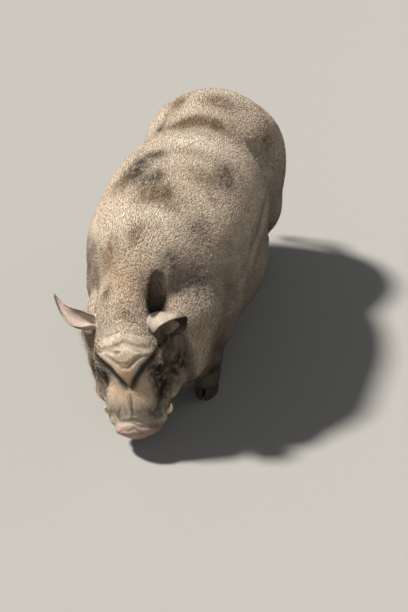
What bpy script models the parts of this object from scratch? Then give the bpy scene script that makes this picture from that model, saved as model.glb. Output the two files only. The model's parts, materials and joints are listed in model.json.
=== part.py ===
"""A pot-bellied pig at life size, standing with its head lowered to drink.

Metres, +Z up. The pig faces -Y, so its left side is +X, and its feet stand on z = 0.
The flesh is modelled as lumps of clay: ellipsoids and tapered limbs that melt into one skin.
The skin is then parted into nodes with thin cuts, and the hard parts are fitted to it.
"""

import math

import bmesh
import bpy
import numpy as np
from mathutils import Matrix, Vector

# Driving dimensions, in metres
BACK_TOP = 0.575
BELLY_LOW = 0.075
HALF_GIRTH = 0.225
RUMP_HALF = 0.197
CLAW_TOP = 0.031
FORE_X = 0.128
HIND_X = 0.118
FORE_Y = -0.20
HIND_Y = 0.40
EYE_RADIUS = 0.0125
SOCKET_SLIT = (0.0100, 0.0052, 0.020)

# The left eye, in the head's own frame
EYE = (0.067, -0.111, 0.036)

# The head's pose: the poll's place, then the angles of the lowered face in degrees
POLL = Vector((-0.038, -0.365, 0.305))
HEAD_YAW, HEAD_PITCH, HEAD_SWING = 2.0, 62.0, 11.0

# Where the thin cuts between the nodes lie: a place on each plane and the way that leads forward
NECK_CUT = (0, -0.245, 0.40), (0, -1, 0.08)
HEAD_CUT = (0, -0.348, 0.42), (0, -0.97, -0.24)
SNOUT_CUT = -0.258

# How the surfaces are made
GAP = 0.0003
VOXEL = 0.008
ROUNDS = 5
HEAD_TRIANGLES = 3400
FOOT_TRIANGLES = 1200
BODY_TRIANGLES = 2200
FAR = 1.0
PROBE = 0.0005

SIDES = (("left", 1), ("right", -1))

for old in list(bpy.data.objects):
    bpy.data.objects.remove(old)


# Frames of reference

def turned(yaw, pitch, swing=0.0):
    """A rotation: swing about the own upright axis, nod about the side axis, then turn about the vertical."""
    return (
        Matrix.Rotation(math.radians(yaw), 4, "Z")
        @ Matrix.Rotation(math.radians(pitch), 4, "X")
        @ Matrix.Rotation(math.radians(swing), 4, "Z")
    )


BODY = Matrix.Identity(4)
HEAD = Matrix.Translation(POLL) @ turned(HEAD_YAW, HEAD_PITCH, HEAD_SWING)


# Lumps of clay

class Ball:
    """An ellipsoid of flesh."""

    def __init__(self, centre, radii, blend, frame=BODY, turn=(0, 0, 0)):
        own = Matrix.Rotation(math.radians(turn[2]), 4, "Z")
        own = own @ Matrix.Rotation(math.radians(turn[1]), 4, "Y")
        own = own @ Matrix.Rotation(math.radians(turn[0]), 4, "X")
        self.matrix = frame @ Matrix.Translation(centre) @ own
        self.centre = np.array(self.matrix.translation)
        self.axes = np.array(self.matrix.to_3x3())
        self.radii = np.array(radii, float)
        self.blend = blend
        reach = np.abs(self.axes) @ self.radii
        self.low, self.high = self.centre - reach, self.centre + reach

    def distance(self, points):
        local = (points - self.centre) @ self.axes
        near = np.linalg.norm(local / self.radii, axis=1)
        slope = np.linalg.norm(local / self.radii**2, axis=1)
        return near * (near - 1) / np.maximum(slope, 1e-9)

    def block(self, mesh):
        size = Matrix.Diagonal((*self.radii, 1))
        bmesh.ops.create_icosphere(mesh, subdivisions=3, radius=1, matrix=self.matrix @ size)


class Limb:
    """A tapered stretch of flesh between two round ends."""

    def __init__(self, start, end, start_radius, end_radius, blend, frame=BODY):
        self.start, self.end = np.array(frame @ Vector(start)), np.array(frame @ Vector(end))
        self.radii = (start_radius, end_radius)
        self.blend = blend
        ends = np.array([self.start, self.end])
        thick = np.array([[start_radius], [end_radius]])
        self.low, self.high = (ends - thick).min(0), (ends + thick).max(0)

    def distance(self, points):
        along = self.end - self.start
        first, last = self.radii
        length2 = along @ along
        taper = first - last
        cone2 = length2 - taper * taper
        from_start = points - self.start
        y = from_start @ along
        z = y - length2
        across = from_start * length2 - np.outer(y, along)
        x2 = (across * across).sum(1)
        y2, z2 = y * y * length2, z * z * length2
        bound = np.sign(taper) * taper * taper * x2
        past_end = np.sign(z) * cone2 * z2 > bound
        past_start = np.sign(y) * cone2 * y2 < bound
        side = (np.sqrt(x2 * cone2 / length2) + y * taper) / length2 - first
        found = np.where(past_start, np.sqrt(x2 + y2) / length2 - first, side)
        return np.where(past_end, np.sqrt(x2 + z2) / length2 - last, found)

    def block(self, mesh):
        start, end = Vector(self.start), Vector(self.end)
        for place, radius in zip((start, end), self.radii):
            bmesh.ops.create_icosphere(
                mesh, subdivisions=3, radius=radius, matrix=Matrix.Translation(place)
            )
        along = end - start
        upright = along.to_track_quat("Z", "Y").to_matrix().to_4x4()
        bmesh.ops.create_cone(
            mesh,
            cap_ends=True,
            segments=24,
            radius1=self.radii[0],
            radius2=self.radii[1],
            depth=along.length,
            matrix=Matrix.Translation((start + end) / 2) @ upright,
        )


def flip(point, side):
    return (point[0] * side, point[1], point[2])


def ball_pair(centre, radii, blend, frame=BODY, turn=(0, 0, 0)):
    """The same ellipsoid on the left and on the right."""
    return [
        Ball(flip(centre, side), radii, blend, frame, (turn[0], turn[1] * side, turn[2] * side))
        for _, side in SIDES
    ]


def limb_pair(start, end, start_radius, end_radius, blend, frame=BODY):
    """The same limb on the left and on the right."""
    return [
        Limb(flip(start, side), flip(end, side), start_radius, end_radius, blend, frame)
        for _, side in SIDES
    ]


def trunk():
    """The shoulders, the barrel with its low belly, the loin and the rump."""
    barrel = (HALF_GIRTH * 0.98, 0.345, 0.205)
    belly = (HALF_GIRTH, 0.29, 0.165)
    return [
        Ball((0, 0.015, BACK_TOP - barrel[2]), barrel, 0.05),
        Ball((0, 0.02, BELLY_LOW + belly[2]), belly, 0.05),
        Ball((0, -0.17, 0.405), (0.163, 0.19, 0.145), 0.06),
        Ball((0, -0.19, 0.25), (0.14, 0.15, 0.14), 0.06),
        *ball_pair((0.098, -0.13, 0.33), (0.110, 0.15, 0.18), 0.05),
        Ball((0, 0.235, 0.385), (0.120, 0.120, 0.165), 0.06),
        Ball((0, 0.36, 0.375), (0.168, 0.155, 0.18), 0.06),
        *ball_pair((0.098, 0.36, 0.34), (RUMP_HALF - 0.098, 0.135, 0.150), 0.06),
        *ball_pair((0.090, 0.33, 0.26), (0.085, 0.12, 0.12), 0.06),
    ]


def neck():
    """The crest of the nape between two thick rolls, which leave a pit behind each ear."""
    return [
        Limb((-0.010, -0.18, 0.42), (-0.048, -0.335, 0.328), 0.118, 0.084, 0.03),
        Limb((0, -0.20, 0.26), (-0.02, -0.30, 0.20), 0.13, 0.09, 0.05),
        Limb((0.090, -0.18, 0.44), (0.106, -0.300, 0.325), 0.084, 0.078, 0.03),
        Limb((0.106, -0.300, 0.325), (0.096, -0.335, 0.200), 0.076, 0.066, 0.03),
        Limb((-0.090, -0.17, 0.37), (-0.100, -0.30, 0.22), 0.078, 0.062, 0.03),
    ]


def skull():
    """The cranium, brow, cheeks, jowls, jaw and muzzle, in the head's own frame with the nose along -Y."""
    return [
        Ball((0, -0.045, 0.0), (0.092, 0.10, 0.078), 0.04, HEAD),
        Ball((0, -0.08, 0.02), (0.080, 0.07, 0.058), 0.03, HEAD),
        *ball_pair((0.036, -0.074, 0.052), (0.050, 0.032, 0.026), 0.022, HEAD, (0, 12, 0)),
        Ball((0.086, -0.105, -0.050), (0.058, 0.078, 0.066), 0.03, HEAD),
        Ball((-0.072, -0.100, -0.050), (0.052, 0.076, 0.064), 0.03, HEAD),
        *ball_pair((0.080, -0.02, -0.085), (0.065, 0.080, 0.070), 0.03, HEAD),
        *ball_pair((0.084, -0.172, -0.042), (0.026, 0.036, 0.028), 0.015, HEAD),
        Limb((0, -0.06, -0.085), (0, -0.214, -0.060), 0.068, 0.034, 0.03, HEAD),
        Limb((0, -0.12, 0.008), (0, -0.255, 0.0), 0.062, 0.047, 0.03, HEAD),
        *ball_pair((0.034, -0.185, 0.028), (0.034, 0.048, 0.024), 0.015, HEAD),
        *limb_pair((0.062, -0.145, -0.024), (0.051, -0.246, -0.018), 0.030, 0.026, 0.02, HEAD),
        Ball((0, -0.275, 0.0), (0.060, 0.020, 0.045), 0.012, HEAD),
    ]


def face_folds():
    """The fat that hangs over the eyes, and the lids around them."""
    return [
        Ball((0, -0.100, 0.058), (0.036, 0.040, 0.024), 0.012, HEAD),
        *limb_pair((0.066, -0.078, 0.050), (0.014, -0.135, 0.055), 0.020, 0.014, 0.010, HEAD),
        *ball_pair(EYE, (0.021, 0.024, 0.020), 0.010, HEAD),
    ]


def foreleg(side):
    x = FORE_X * side
    return [
        Limb((x - 0.010 * side, FORE_Y + 0.01, 0.27), (x, FORE_Y + 0.02, 0.19), 0.078, 0.056, 0.03),
        Limb((x, FORE_Y + 0.02, 0.19), (x, FORE_Y - 0.012, 0.115), 0.055, 0.036, 0.02),
        Ball((x, FORE_Y - 0.014, 0.112), (0.036, 0.038, 0.034), 0.015),
        Limb((x, FORE_Y - 0.012, 0.11), (x, FORE_Y - 0.004, 0.06), 0.030, 0.028, 0.015),
        Limb((x, FORE_Y - 0.002, 0.058), (x, FORE_Y - 0.022, 0.030), 0.031, 0.031, 0.012),
    ]


def hindleg(side):
    x = HIND_X * side
    return [
        Ball((x + 0.006 * side, HIND_Y - 0.09, 0.235), (0.066, 0.085, 0.09), 0.03),
        Limb((x, HIND_Y - 0.06, 0.22), (x, HIND_Y + 0.025, 0.15), 0.075, 0.040, 0.03),
        Ball((x, HIND_Y + 0.028, 0.142), (0.033, 0.042, 0.036), 0.015),
        Limb((x, HIND_Y + 0.026, 0.14), (x, HIND_Y + 0.008, 0.06), 0.031, 0.028, 0.015),
        Limb((x, HIND_Y + 0.008, 0.058), (x, HIND_Y - 0.012, 0.030), 0.031, 0.031, 0.012),
    ]


LUMPS = [
    *trunk(),
    *neck(),
    *skull(),
    *face_folds(),
    *(lump for _, side in SIDES for lump in foreleg(side) + hindleg(side)),
]

# The deep pit behind the left ear, between the crest of the neck and its roll
PIT = Ball((0.031, -0.362, 0.400), (0.0185, 0.085, 0.054), 0.008, BODY, (-20, 0, 0))


def melted(points):
    """How far each point lies outside the lumps, melted together. It is true near the surface only."""
    found = np.full(len(points), FAR)
    for lump in LUMPS:
        margin = lump.blend + 0.03
        near = ((points > lump.low - margin) & (points < lump.high + margin)).all(1)
        if not near.any():
            continue
        one, other = found[near], lump.distance(points[near])
        share = np.clip(0.5 + 0.5 * (one - other) / lump.blend, 0, 1)
        found[near] = one + (other - one) * share - lump.blend * share * (1 - share)
    near = ((points > PIT.low - PIT.blend) & (points < PIT.high + PIT.blend)).all(1)
    if near.any():
        one, other = found[near], -PIT.distance(points[near])
        share = np.clip(0.5 + 0.5 * (other - one) / PIT.blend, 0, 1)
        found[near] = one + (other - one) * share + PIT.blend * share * (1 - share)
    return found


def pull_of(points, depth_of):
    """The step that takes each point straight onto a surface, from the depth at four corners around it."""
    depth, slope = 0, 0
    for corner in np.array(((1, 1, 1), (1, -1, -1), (-1, 1, -1), (-1, -1, 1))):
        found = depth_of(points + corner * PROBE)
        depth = depth + found / 4
        slope = slope + np.outer(found, corner) / (4 * PROBE)
    steep = np.maximum((slope * slope).sum(1), 0.05)
    step = -slope * (depth / steep)[:, None]
    length = np.linalg.norm(step, axis=1)
    return step * np.minimum(1, VOXEL / np.maximum(length, 1e-9))[:, None]


class Crease:
    """A groove pressed into the clay along a line that is laid on its surface. It fades out at both ends."""

    def __init__(self, places, width, depth, frame=BODY):
        line = np.array([tuple(frame @ Vector(place)) for place in places])
        steps = np.linspace(0, len(line) - 1, 6 * (len(line) - 1) + 1)
        line = np.stack([np.interp(steps, range(len(line)), line[:, axis]) for axis in range(3)], 1)
        for _ in range(6):
            line = line + pull_of(line, melted)
        self.line, self.width = line, width
        self.depths = depth * np.sin(np.linspace(0.12, 0.88, len(line)) * math.pi) ** 0.6
        self.low, self.high = line.min(0) - 3 * width, line.max(0) + 3 * width

    def press(self, points):
        """How deep the groove is at each point."""
        nearest = np.full(len(points), FAR)
        deep = np.zeros(len(points))
        for first, last, one, other in zip(self.line, self.line[1:], self.depths, self.depths[1:]):
            along = last - first
            share = np.clip((points - first) @ along / (along @ along), 0, 1)
            gap = np.linalg.norm(points - first - np.outer(share, along), axis=1)
            closer = gap < nearest
            nearest[closer] = gap[closer]
            deep[closer] = (one + (other - one) * share)[closer]
        return deep * np.exp(-(nearest / self.width) ** 2)


def crease_pair(places, width, depth, frame=BODY):
    """The same groove on the left and on the right."""
    return [Crease([flip(place, side) for place in places], width, depth, frame) for _, side in SIDES]


def mirrored(places):
    """A line from the middle out to the left, carried over to the right as well."""
    return [flip(place, -1) for place in places[:0:-1]] + places


def body_creases():
    """The groove over each flank, the waist and the edges of the neck's rolls."""
    flank = [(0.200, 0.12, 0.405), (0.209, 0.05, 0.410), (0.211, -0.02, 0.388), (0.2, -0.09, 0.382),
             (0.195, -0.17, 0.345)]
    waist = [(0.165, 0.24, 0.50), (0.20, 0.225, 0.40), (0.20, 0.205, 0.28), (0.16, 0.225, 0.18)]
    roll = [(0.17, -0.25, 0.41), (0.185, -0.235, 0.34), (0.18, -0.25, 0.25)]
    return [
        *crease_pair(flank, 0.018, 0.008),
        *crease_pair(waist, 0.026, 0.009),
        *crease_pair(roll, 0.018, 0.008),
    ]


def face_creases():
    """The edges of the brow's rolls, the deep folds over the eyes, the mouth and the snout's wrinkle."""
    brow = mirrored([(0, -0.046, 0.084), (0.032, -0.058, 0.08), (0.075, -0.066, 0.06)])
    second = mirrored([(0, -0.100, 0.084), (0.02, -0.094, 0.08), (0.045, -0.072, 0.075)])
    over_eye = [(0.090, -0.056, 0.040), (0.070, -0.080, 0.060), (0.043, -0.108, 0.066),
                (0.019, -0.140, 0.066), (0.006, -0.158, 0.056)]
    cheek = [(0.100, -0.11, 0.02), (0.090, -0.16, 0.0), (0.082, -0.19, -0.01)]
    jowl = [(0.131, -0.038, 0.021), (0.140, -0.077, 0.005), (0.144, -0.114, -0.008), (0.137, -0.166, -0.048)]
    snout = mirrored([(0, -0.246, 0.05), (0.045, -0.252, 0.03)])
    mouth = mirrored([(0, -0.250, -0.046), (0.030, -0.244, -0.048), (0.058, -0.215, -0.050),
                      (0.072, -0.175, -0.050), (0.084, -0.125, -0.046)])
    return [
        Crease(brow, 0.007, 0.007, HEAD),
        Crease(second, 0.005, 0.004, HEAD),
        *crease_pair(over_eye, 0.0085, 0.017, HEAD),
        *crease_pair(cheek, 0.010, 0.010, HEAD),
        *crease_pair(jowl, 0.012, 0.012, HEAD),
        Crease(snout, 0.005, 0.005, HEAD),
        Crease(mouth, 0.005, 0.009, HEAD),
    ]


CREASES = body_creases() + face_creases()


def skin_distance(points):
    """How far each point lies outside the skin. It is true near the surface, which is where it is used."""
    found = melted(points)
    for crease in CREASES:
        near = ((points > crease.low) & (points < crease.high)).all(1)
        if near.any():
            found[near] += crease.press(points[near])
    return found


# The skin

def new_object(name, mesh):
    made = bpy.data.objects.new(name, mesh)
    bpy.context.scene.collection.objects.link(made)
    return made


def mesh_from(bm, name):
    mesh = bpy.data.meshes.new(name)
    bm.to_mesh(mesh)
    bm.free()
    return mesh


def evaluated(made):
    """The object's mesh with its modifiers applied."""
    graph = bpy.context.evaluated_depsgraph_get()
    mesh = bpy.data.meshes.new_from_object(made.evaluated_get(graph))
    made.modifiers.clear()
    made.data = mesh
    return made


def coordinates(mesh, kind="vertices", field="co"):
    flat = np.empty(len(getattr(mesh, kind)) * 3, np.float32)
    getattr(mesh, kind).foreach_get(field, flat)
    return flat.reshape(-1, 3).astype(float)


def relaxed(points, edges, amount):
    """Each point moved part of the way to the middle of its neighbours."""
    count = np.bincount(edges.ravel(), minlength=len(points))[:, None]
    total = np.zeros_like(points)
    for axis in range(3):
        for one, other in ((0, 1), (1, 0)):
            total[:, axis] += np.bincount(
                edges[:, one], weights=points[edges[:, other], axis], minlength=len(points)
            )
    return points + amount * (total / np.maximum(count, 1) - points)


def in_head(points):
    """Which points lie in the head, ahead of the ears."""
    own = (points - np.array(HEAD.translation)) @ np.array(HEAD.to_3x3())
    ahead = (own[:, 1] < 0.06) & (points[:, 1] < -0.27)
    return ahead & (np.abs(own[:, 0]) < 0.15) & (own[:, 2] > -0.13)


def in_foot(points):
    return points[:, 2] < 0.10


def split_faces(made, inside):
    """Splits the faces in a region in four, so that it holds finer forms."""
    bm = bmesh.new()
    bm.from_mesh(made.data)
    middles = np.array([face.calc_center_median() for face in bm.faces])
    edges = {edge for face, chosen in zip(bm.faces, inside(middles)) if chosen for edge in face.edges}
    bmesh.ops.subdivide_edges(bm, edges=list(edges), cuts=1, use_grid_fill=True)
    bmesh.ops.triangulate(bm, faces=[face for face in bm.faces if len(face.verts) > 4])
    made.data = mesh_from(bm, made.name)


def settle(mesh, rounds):
    """Moves a remeshed skin onto the clay, evening out its points as it goes."""
    edges = np.empty(len(mesh.edges) * 2, np.int32)
    mesh.edges.foreach_get("vertices", edges)
    edges = edges.reshape(-1, 2)
    points = coordinates(mesh)
    for _ in range(rounds):
        for _ in range(4):
            points = relaxed(points, edges, 0.5)
        points = points + pull_of(points, skin_distance)
    points = points + pull_of(points, skin_distance)
    mesh.vertices.foreach_set("co", points.astype(np.float32).ravel())
    mesh.update()


def whole_skin(voxel):
    """All the clay as one closed skin, finer on the head."""
    bm = bmesh.new()
    for lump in LUMPS:
        lump.block(bm)
    skin = new_object("skin", mesh_from(bm, "skin"))
    remesh = skin.modifiers.new("remesh", "REMESH")
    remesh.mode = "VOXEL"
    remesh.voxel_size = voxel
    evaluated(skin)
    split_faces(skin, in_head)
    settle(skin.data, ROUNDS)
    return skin


def thinned(made, inside, target):
    """Collapses the triangles of one region down to a target count. Smooth stretches lose the most."""
    mesh = made.data
    chosen = inside(coordinates(mesh))
    group = made.vertex_groups.new(name="region")
    group.add(np.flatnonzero(chosen).tolist(), 1.0, "REPLACE")
    corners = np.empty(len(mesh.loops), np.int32)
    mesh.loops.foreach_get("vertex_index", corners)
    count = int(chosen[corners].reshape(-1, 3).all(1).sum())
    thin = made.modifiers.new("thin", "DECIMATE")
    thin.ratio = 1 - (count - target) / len(mesh.polygons)
    thin.vertex_group = "region"
    thin.vertex_group_factor = 1.0
    evaluated(made)
    made.vertex_groups.clear()


def triangulated(made):
    bm = bmesh.new()
    bm.from_mesh(made.data)
    bmesh.ops.triangulate(bm, faces=bm.faces)
    made.data = mesh_from(bm, made.name)


# Shaping tools

def remove(*objects):
    for made in objects:
        bpy.data.objects.remove(made)


def copied(made, name):
    return new_object(name, made.data.copy())


def boolean(made, operation, other):
    step = made.modifiers.new("cut", "BOOLEAN")
    step.operation = operation
    step.solver = "EXACT"
    step.object = other
    return largest(evaluated(made))


def largest(made):
    """Keeps the largest closed surface of a piece, so that no crumb of a cut stays behind."""
    bm = bmesh.new()
    bm.from_mesh(made.data)
    bmesh.ops.triangulate(bm, faces=bm.faces)
    waiting, bodies = set(bm.faces), []
    while waiting:
        front, body = [waiting.pop()], []
        while front:
            face = front.pop()
            body.append(face)
            for edge in face.edges:
                for other in edge.link_faces:
                    if other in waiting:
                        waiting.remove(other)
                        front.append(other)
        bodies.append(body)
    bodies.sort(key=lambda body: sum(face.calc_area() for face in body))
    bmesh.ops.delete(bm, geom=[face for body in bodies[:-1] for face in body], context="FACES")
    loose = [vert for vert in bm.verts if not vert.link_faces]
    bmesh.ops.delete(bm, geom=loose, context="VERTS")
    bmesh.ops.dissolve_degenerate(bm, dist=1e-6, edges=bm.edges)
    made.data = mesh_from(bm, made.name)
    return made


def half(made, name, place, normal):
    """The part of a piece that lies on the side of a plane its normal points to, closed again."""
    bm = bmesh.new()
    bm.from_mesh(made.data)
    everything = [*bm.verts, *bm.edges, *bm.faces]
    cut = bmesh.ops.bisect_plane(
        bm, geom=everything, dist=1e-7, plane_co=place, plane_no=normal, clear_inner=True
    )["geom_cut"]
    rim = [item for item in cut if isinstance(item, bmesh.types.BMEdge)]
    bmesh.ops.triangle_fill(bm, use_beauty=True, edges=rim, normal=-Vector(normal))
    bmesh.ops.recalc_face_normals(bm, faces=bm.faces)
    return largest(new_object(name, mesh_from(bm, name)))


def parted(made, place, normal, ahead, behind):
    """Cuts a piece in two, with a thin gap, and names the part ahead of the plane and the part behind it."""
    normal = Vector(normal).normalized()
    first = half(made, ahead, Vector(place) + normal * GAP / 2, normal)
    second = half(made, behind, Vector(place) - normal * GAP / 2, -normal)
    remove(made)
    return first, second


def grown(made, amount, name="grown"):
    """A copy of a piece, a little larger all round."""
    copy = copied(made, name)
    bm = bmesh.new()
    bm.from_mesh(copy.data)
    bm.normal_update()
    places = [vert.co + vert.normal * amount for vert in bm.verts]
    for vert, place in zip(bm.verts, places):
        vert.co = place
    copy.data = mesh_from(bm, name)
    return copy


def loft(name, rings):
    """A closed piece through rings that have the same number of points."""
    bm = bmesh.new()
    rows = [[bm.verts.new(place) for place in ring] for ring in rings]
    size = len(rows[0])
    for low, high in zip(rows, rows[1:]):
        for i in range(size):
            j = (i + 1) % size
            bm.faces.new((low[i], low[j], high[j], high[i]))
    bm.faces.new(rows[0])
    bm.faces.new(rows[-1])
    bmesh.ops.triangulate(bm, faces=bm.faces)
    bmesh.ops.recalc_face_normals(bm, faces=bm.faces)
    return new_object(name, mesh_from(bm, name))


def ring_at(place, along, across, width, thick, sides):
    """An ellipse of points around a place on a spine."""
    along = Vector(along).normalized()
    side = Vector(across) - Vector(across).dot(along) * along
    side.normalize()
    up = along.cross(side)
    turns = [2 * math.pi * i / sides for i in range(sides)]
    return [Vector(place) + side * width * math.cos(t) + up * thick * math.sin(t) for t in turns]


def spine_rings(spine, widths, thicks, across, sides):
    """Ellipses along a spine, each square to it."""
    points = [Vector(place) for place in spine]
    rings = []
    for i, place in enumerate(points):
        along = points[min(i + 1, len(points) - 1)] - points[max(i - 1, 0)]
        rings.append(ring_at(place, along, across, widths[i], thicks[i], sides))
    return rings


# The flesh nodes

def leg_block(name, places, growth):
    """The hull around a row of balls, which is the space that a leg takes out of the skin."""
    bm = bmesh.new()
    for place, radius, fine in places:
        ball = bmesh.new()
        bmesh.ops.create_icosphere(
            ball, subdivisions=fine, radius=radius + growth, matrix=Matrix.Translation(place)
        )
        for vert in ball.verts:
            bm.verts.new(vert.co)
        ball.free()
    hull = bmesh.ops.convex_hull(bm, input=bm.verts)
    spare = [item for item in hull["geom_interior"] if isinstance(item, bmesh.types.BMVert)]
    bmesh.ops.delete(bm, geom=spare, context="VERTS")
    bmesh.ops.recalc_face_normals(bm, faces=bm.faces)
    return new_object(name, mesh_from(bm, name))


def leg_space(pair, side):
    """The balls that a leg is cut from, from inside the flesh down past the sole."""
    if pair == "fore":
        return [
            ((0.152 * side, FORE_Y + 0.01, 0.225), 0.098, 2),
            ((FORE_X * side, FORE_Y, 0.14), 0.070, 1),
            ((FORE_X * side, FORE_Y - 0.01, 0.0), 0.062, 1),
        ]
    return [
        ((0.150 * side, HIND_Y - 0.055, 0.24), 0.118, 2),
        ((HIND_X * side, HIND_Y + 0.005, 0.14), 0.078, 1),
        ((HIND_X * side, HIND_Y, 0.0), 0.062, 1),
    ]


def ellipsoid(name, matrix, radii):
    bm = bmesh.new()
    shape = matrix @ Matrix.Diagonal((*radii, 1))
    bmesh.ops.create_icosphere(bm, subdivisions=2, radius=1, matrix=shape)
    return new_object(name, mesh_from(bm, name))


def socketed(skin):
    """Cuts the eyes' sockets into the skin, each open through a slit between the lids."""
    for _, side in SIDES:
        centre = HEAD @ Vector(flip(EYE, side))
        out, slit = eye_ways(side)
        hole = ellipsoid("hole", Matrix.Translation(centre), [EYE_RADIUS + GAP] * 3)
        turn = Matrix((slit, out.cross(slit), out)).transposed().to_4x4()
        opening = ellipsoid("opening", Matrix.Translation(centre + out * 0.010) @ turn, SOCKET_SLIT)
        boolean(hole, "UNION", opening)
        boolean(skin, "DIFFERENCE", hole)
        remove(hole, opening)


def eye_ways(side):
    """The way an eye looks, and the way the slit between its lids runs."""
    out = (HEAD.to_3x3() @ Vector((0.72 * side, -0.25, 0.66))).normalized()
    slit = HEAD.to_3x3() @ Vector((0.35 * side, 0.90, 0.10))
    slit = (slit - slit.dot(out) * out).normalized()
    return out, slit


# Pieces fitted to the skin

def eye(name, side):
    return ellipsoid(name, Matrix.Translation(HEAD @ Vector(flip(EYE, side))), [EYE_RADIUS] * 3)


def ear(name, root, tip_way, open_way, length, bend, scale, sweep, twist):
    """A cupped leaf: a tube at the root, then open, its tip swept sideways and its mouth twisted."""
    axis = Vector(tip_way).normalized()
    face = Vector(open_way) - Vector(open_way).dot(axis) * axis
    face.normalize()
    side = axis.cross(face)
    table = (
        (0.00, 0.042, 150, 0.0055),
        (0.14, 0.048, 138, 0.0050),
        (0.28, 0.053, 122, 0.0045),
        (0.43, 0.053, 106, 0.0042),
        (0.58, 0.047, 92, 0.0040),
        (0.72, 0.038, 80, 0.0036),
        (0.85, 0.026, 70, 0.0032),
        (0.95, 0.014, 62, 0.0028),
        (1.00, 0.006, 56, 0.0024),
    )
    columns = 9
    outer, inner = [], []
    for share, spread, angle, thick in table:
        reach = math.radians(angle)
        radius = spread * scale / reach
        twisted = Matrix.Rotation(math.radians(twist) * share, 3, axis)
        mouth, across = twisted @ face, twisted @ side
        ridge = Vector(root) + axis * length * share + face * bend * share**2 + side * sweep * share**4
        middle = ridge + mouth * radius
        for rows, ray in ((outer, radius + thick / 2), (inner, radius - thick / 2)):
            row = []
            for i in range(columns):
                turn = reach * (2 * i / (columns - 1) - 1)
                row.append(middle + ray * (across * math.sin(turn) - mouth * math.cos(turn)))
            rows.append(row)
    rings = [one + other[::-1] for one, other in zip(outer, inner)]
    return loft(name, rings)


def tusk(name, side):
    """A lower tusk that curves out and up beside the snout. The right one is worn shorter."""
    spine = [
        (0.040, -0.228, -0.030),
        (0.062, -0.236, -0.022),
        (0.080, -0.234, -0.004),
        (0.090, -0.224, 0.011),
        (0.094, -0.210, 0.022),
    ]
    worn = 1.0 if side > 0 else 0.75
    root = Vector(spine[0])
    places = [HEAD @ Vector(flip(root.lerp(Vector(place), worn), side)) for place in spine]
    widths = (0.0080, 0.0080, 0.0075, 0.0058, 0.0016)
    return loft(name, spine_rings(places, widths, widths, HEAD.to_3x3() @ Vector((0, 1, 0)), 8))


TAIL_SPINE = [
    (0.000, 0.470, 0.455),
    (0.000, 0.505, 0.450),
    (0.003, 0.528, 0.425),
    (0.007, 0.536, 0.385),
    (0.011, 0.536, 0.345),
    (0.012, 0.533, 0.305),
    (0.011, 0.530, 0.270),
]


def tail():
    """The hanging tail and its tuft: flat tapered locks, fused to the tail."""
    widths = (0.018, 0.017, 0.014, 0.012, 0.010, 0.0085, 0.005)
    made = loft("tail", spine_rings(TAIL_SPINE, widths, widths, (1, 0, 0), 8))
    rng = np.random.default_rng(7)
    locks = bpy.data.collections.new("locks")
    count = 10
    lock_thicks = (0.003, 0.0032, 0.0007)
    for i in range(count):
        share = i / (count - 1)
        turn = 2.4 * i
        way = Vector((math.cos(turn), math.sin(turn), 0))
        root = Vector(TAIL_SPINE[4]).lerp(Vector(TAIL_SPINE[6]), 0.15 + 0.80 * share)
        length = 0.075 + 0.018 * float(rng.uniform(-1, 1))
        spread = 0.010 + 0.008 * float(rng.uniform(0, 1))
        start = root + way * 0.001 + Vector((0, 0, 0.010))
        middle = root + way * spread * 0.75 + Vector((0, 0, -length * 0.45))
        end = root + way * spread * 1.1 + Vector((0, 0, -length))
        side = Vector((-way.y, way.x, 0))
        width = 0.009 + 0.0015 * float(rng.uniform(-1, 1))
        rings = spine_rings((start, middle, end), (0.006, width, 0.001), lock_thicks, side, 4)
        lock = loft(f"lock_{i}", rings)
        bpy.context.scene.collection.objects.unlink(lock)
        locks.objects.link(lock)
    step = made.modifiers.new("locks", "BOOLEAN")
    step.operation = "UNION"
    step.solver = "EXACT"
    step.operand_type = "COLLECTION"
    step.collection = locks
    largest(evaluated(made))
    remove(*list(locks.objects))
    bpy.data.collections.remove(locks)
    return made


def foot_middle(pair, side):
    return (FORE_X * side, FORE_Y - 0.022) if pair == "fore" else (HIND_X * side, HIND_Y - 0.012)


def claw(name, pair, side, half_side):
    """One of the two main claws of a foot, with a flat sole on the floor."""
    x, y = foot_middle(pair, side)
    cleft = 0.0016
    sole = ((cleft, -0.029), (cleft, 0.004), (0.0035, 0.036), (0.010, 0.0385), (0.019, 0.030),
            (0.027, 0.012), (0.0295, -0.008), (0.026, -0.024), (0.014, -0.031))
    rings = []
    for height, size, back in ((0.0, 1.0, 0.0), (0.012, 0.985, 0.002), (CLAW_TOP - GAP, 0.85, 0.007)):
        ring = []
        for across, ahead in sole:
            wide = cleft + (across - cleft) * size
            ring.append((x + half_side * wide, y - (ahead * size - back), height))
        rings.append(ring)
    return loft(name, rings)


def dewclaw(name, pair, side, half_side):
    """One of the two small claws at the back of a foot, clear of the floor."""
    x, back = (FORE_X, FORE_Y + 0.010) if pair == "fore" else (HIND_X, HIND_Y + 0.022)
    x = x * side
    spine = [
        (x + half_side * 0.011, back - 0.002, 0.066),
        (x + half_side * 0.015, back + 0.012, 0.058),
        (x + half_side * 0.019, back + 0.024, 0.048),
        (x + half_side * 0.020, back + 0.031, 0.038),
    ]
    widths = (0.009, 0.0095, 0.008, 0.004)
    thicks = (0.008, 0.0085, 0.007, 0.0035)
    return loft(name, spine_rings(spine, widths, thicks, (1, 0, 0), 6))


def settle_on_origin():
    """Moves the whole animal so that the origin is on the floor, under the middle of its bounding box."""
    meshes = [made.data for made in bpy.context.scene.objects]
    points = np.concatenate([coordinates(mesh) for mesh in meshes])
    low, high = points.min(0), points.max(0)
    shift = Matrix.Translation((-(low[0] + high[0]) / 2, -(low[1] + high[1]) / 2, -low[2]))
    for mesh in meshes:
        mesh.transform(shift)
        mesh.update()


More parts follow.
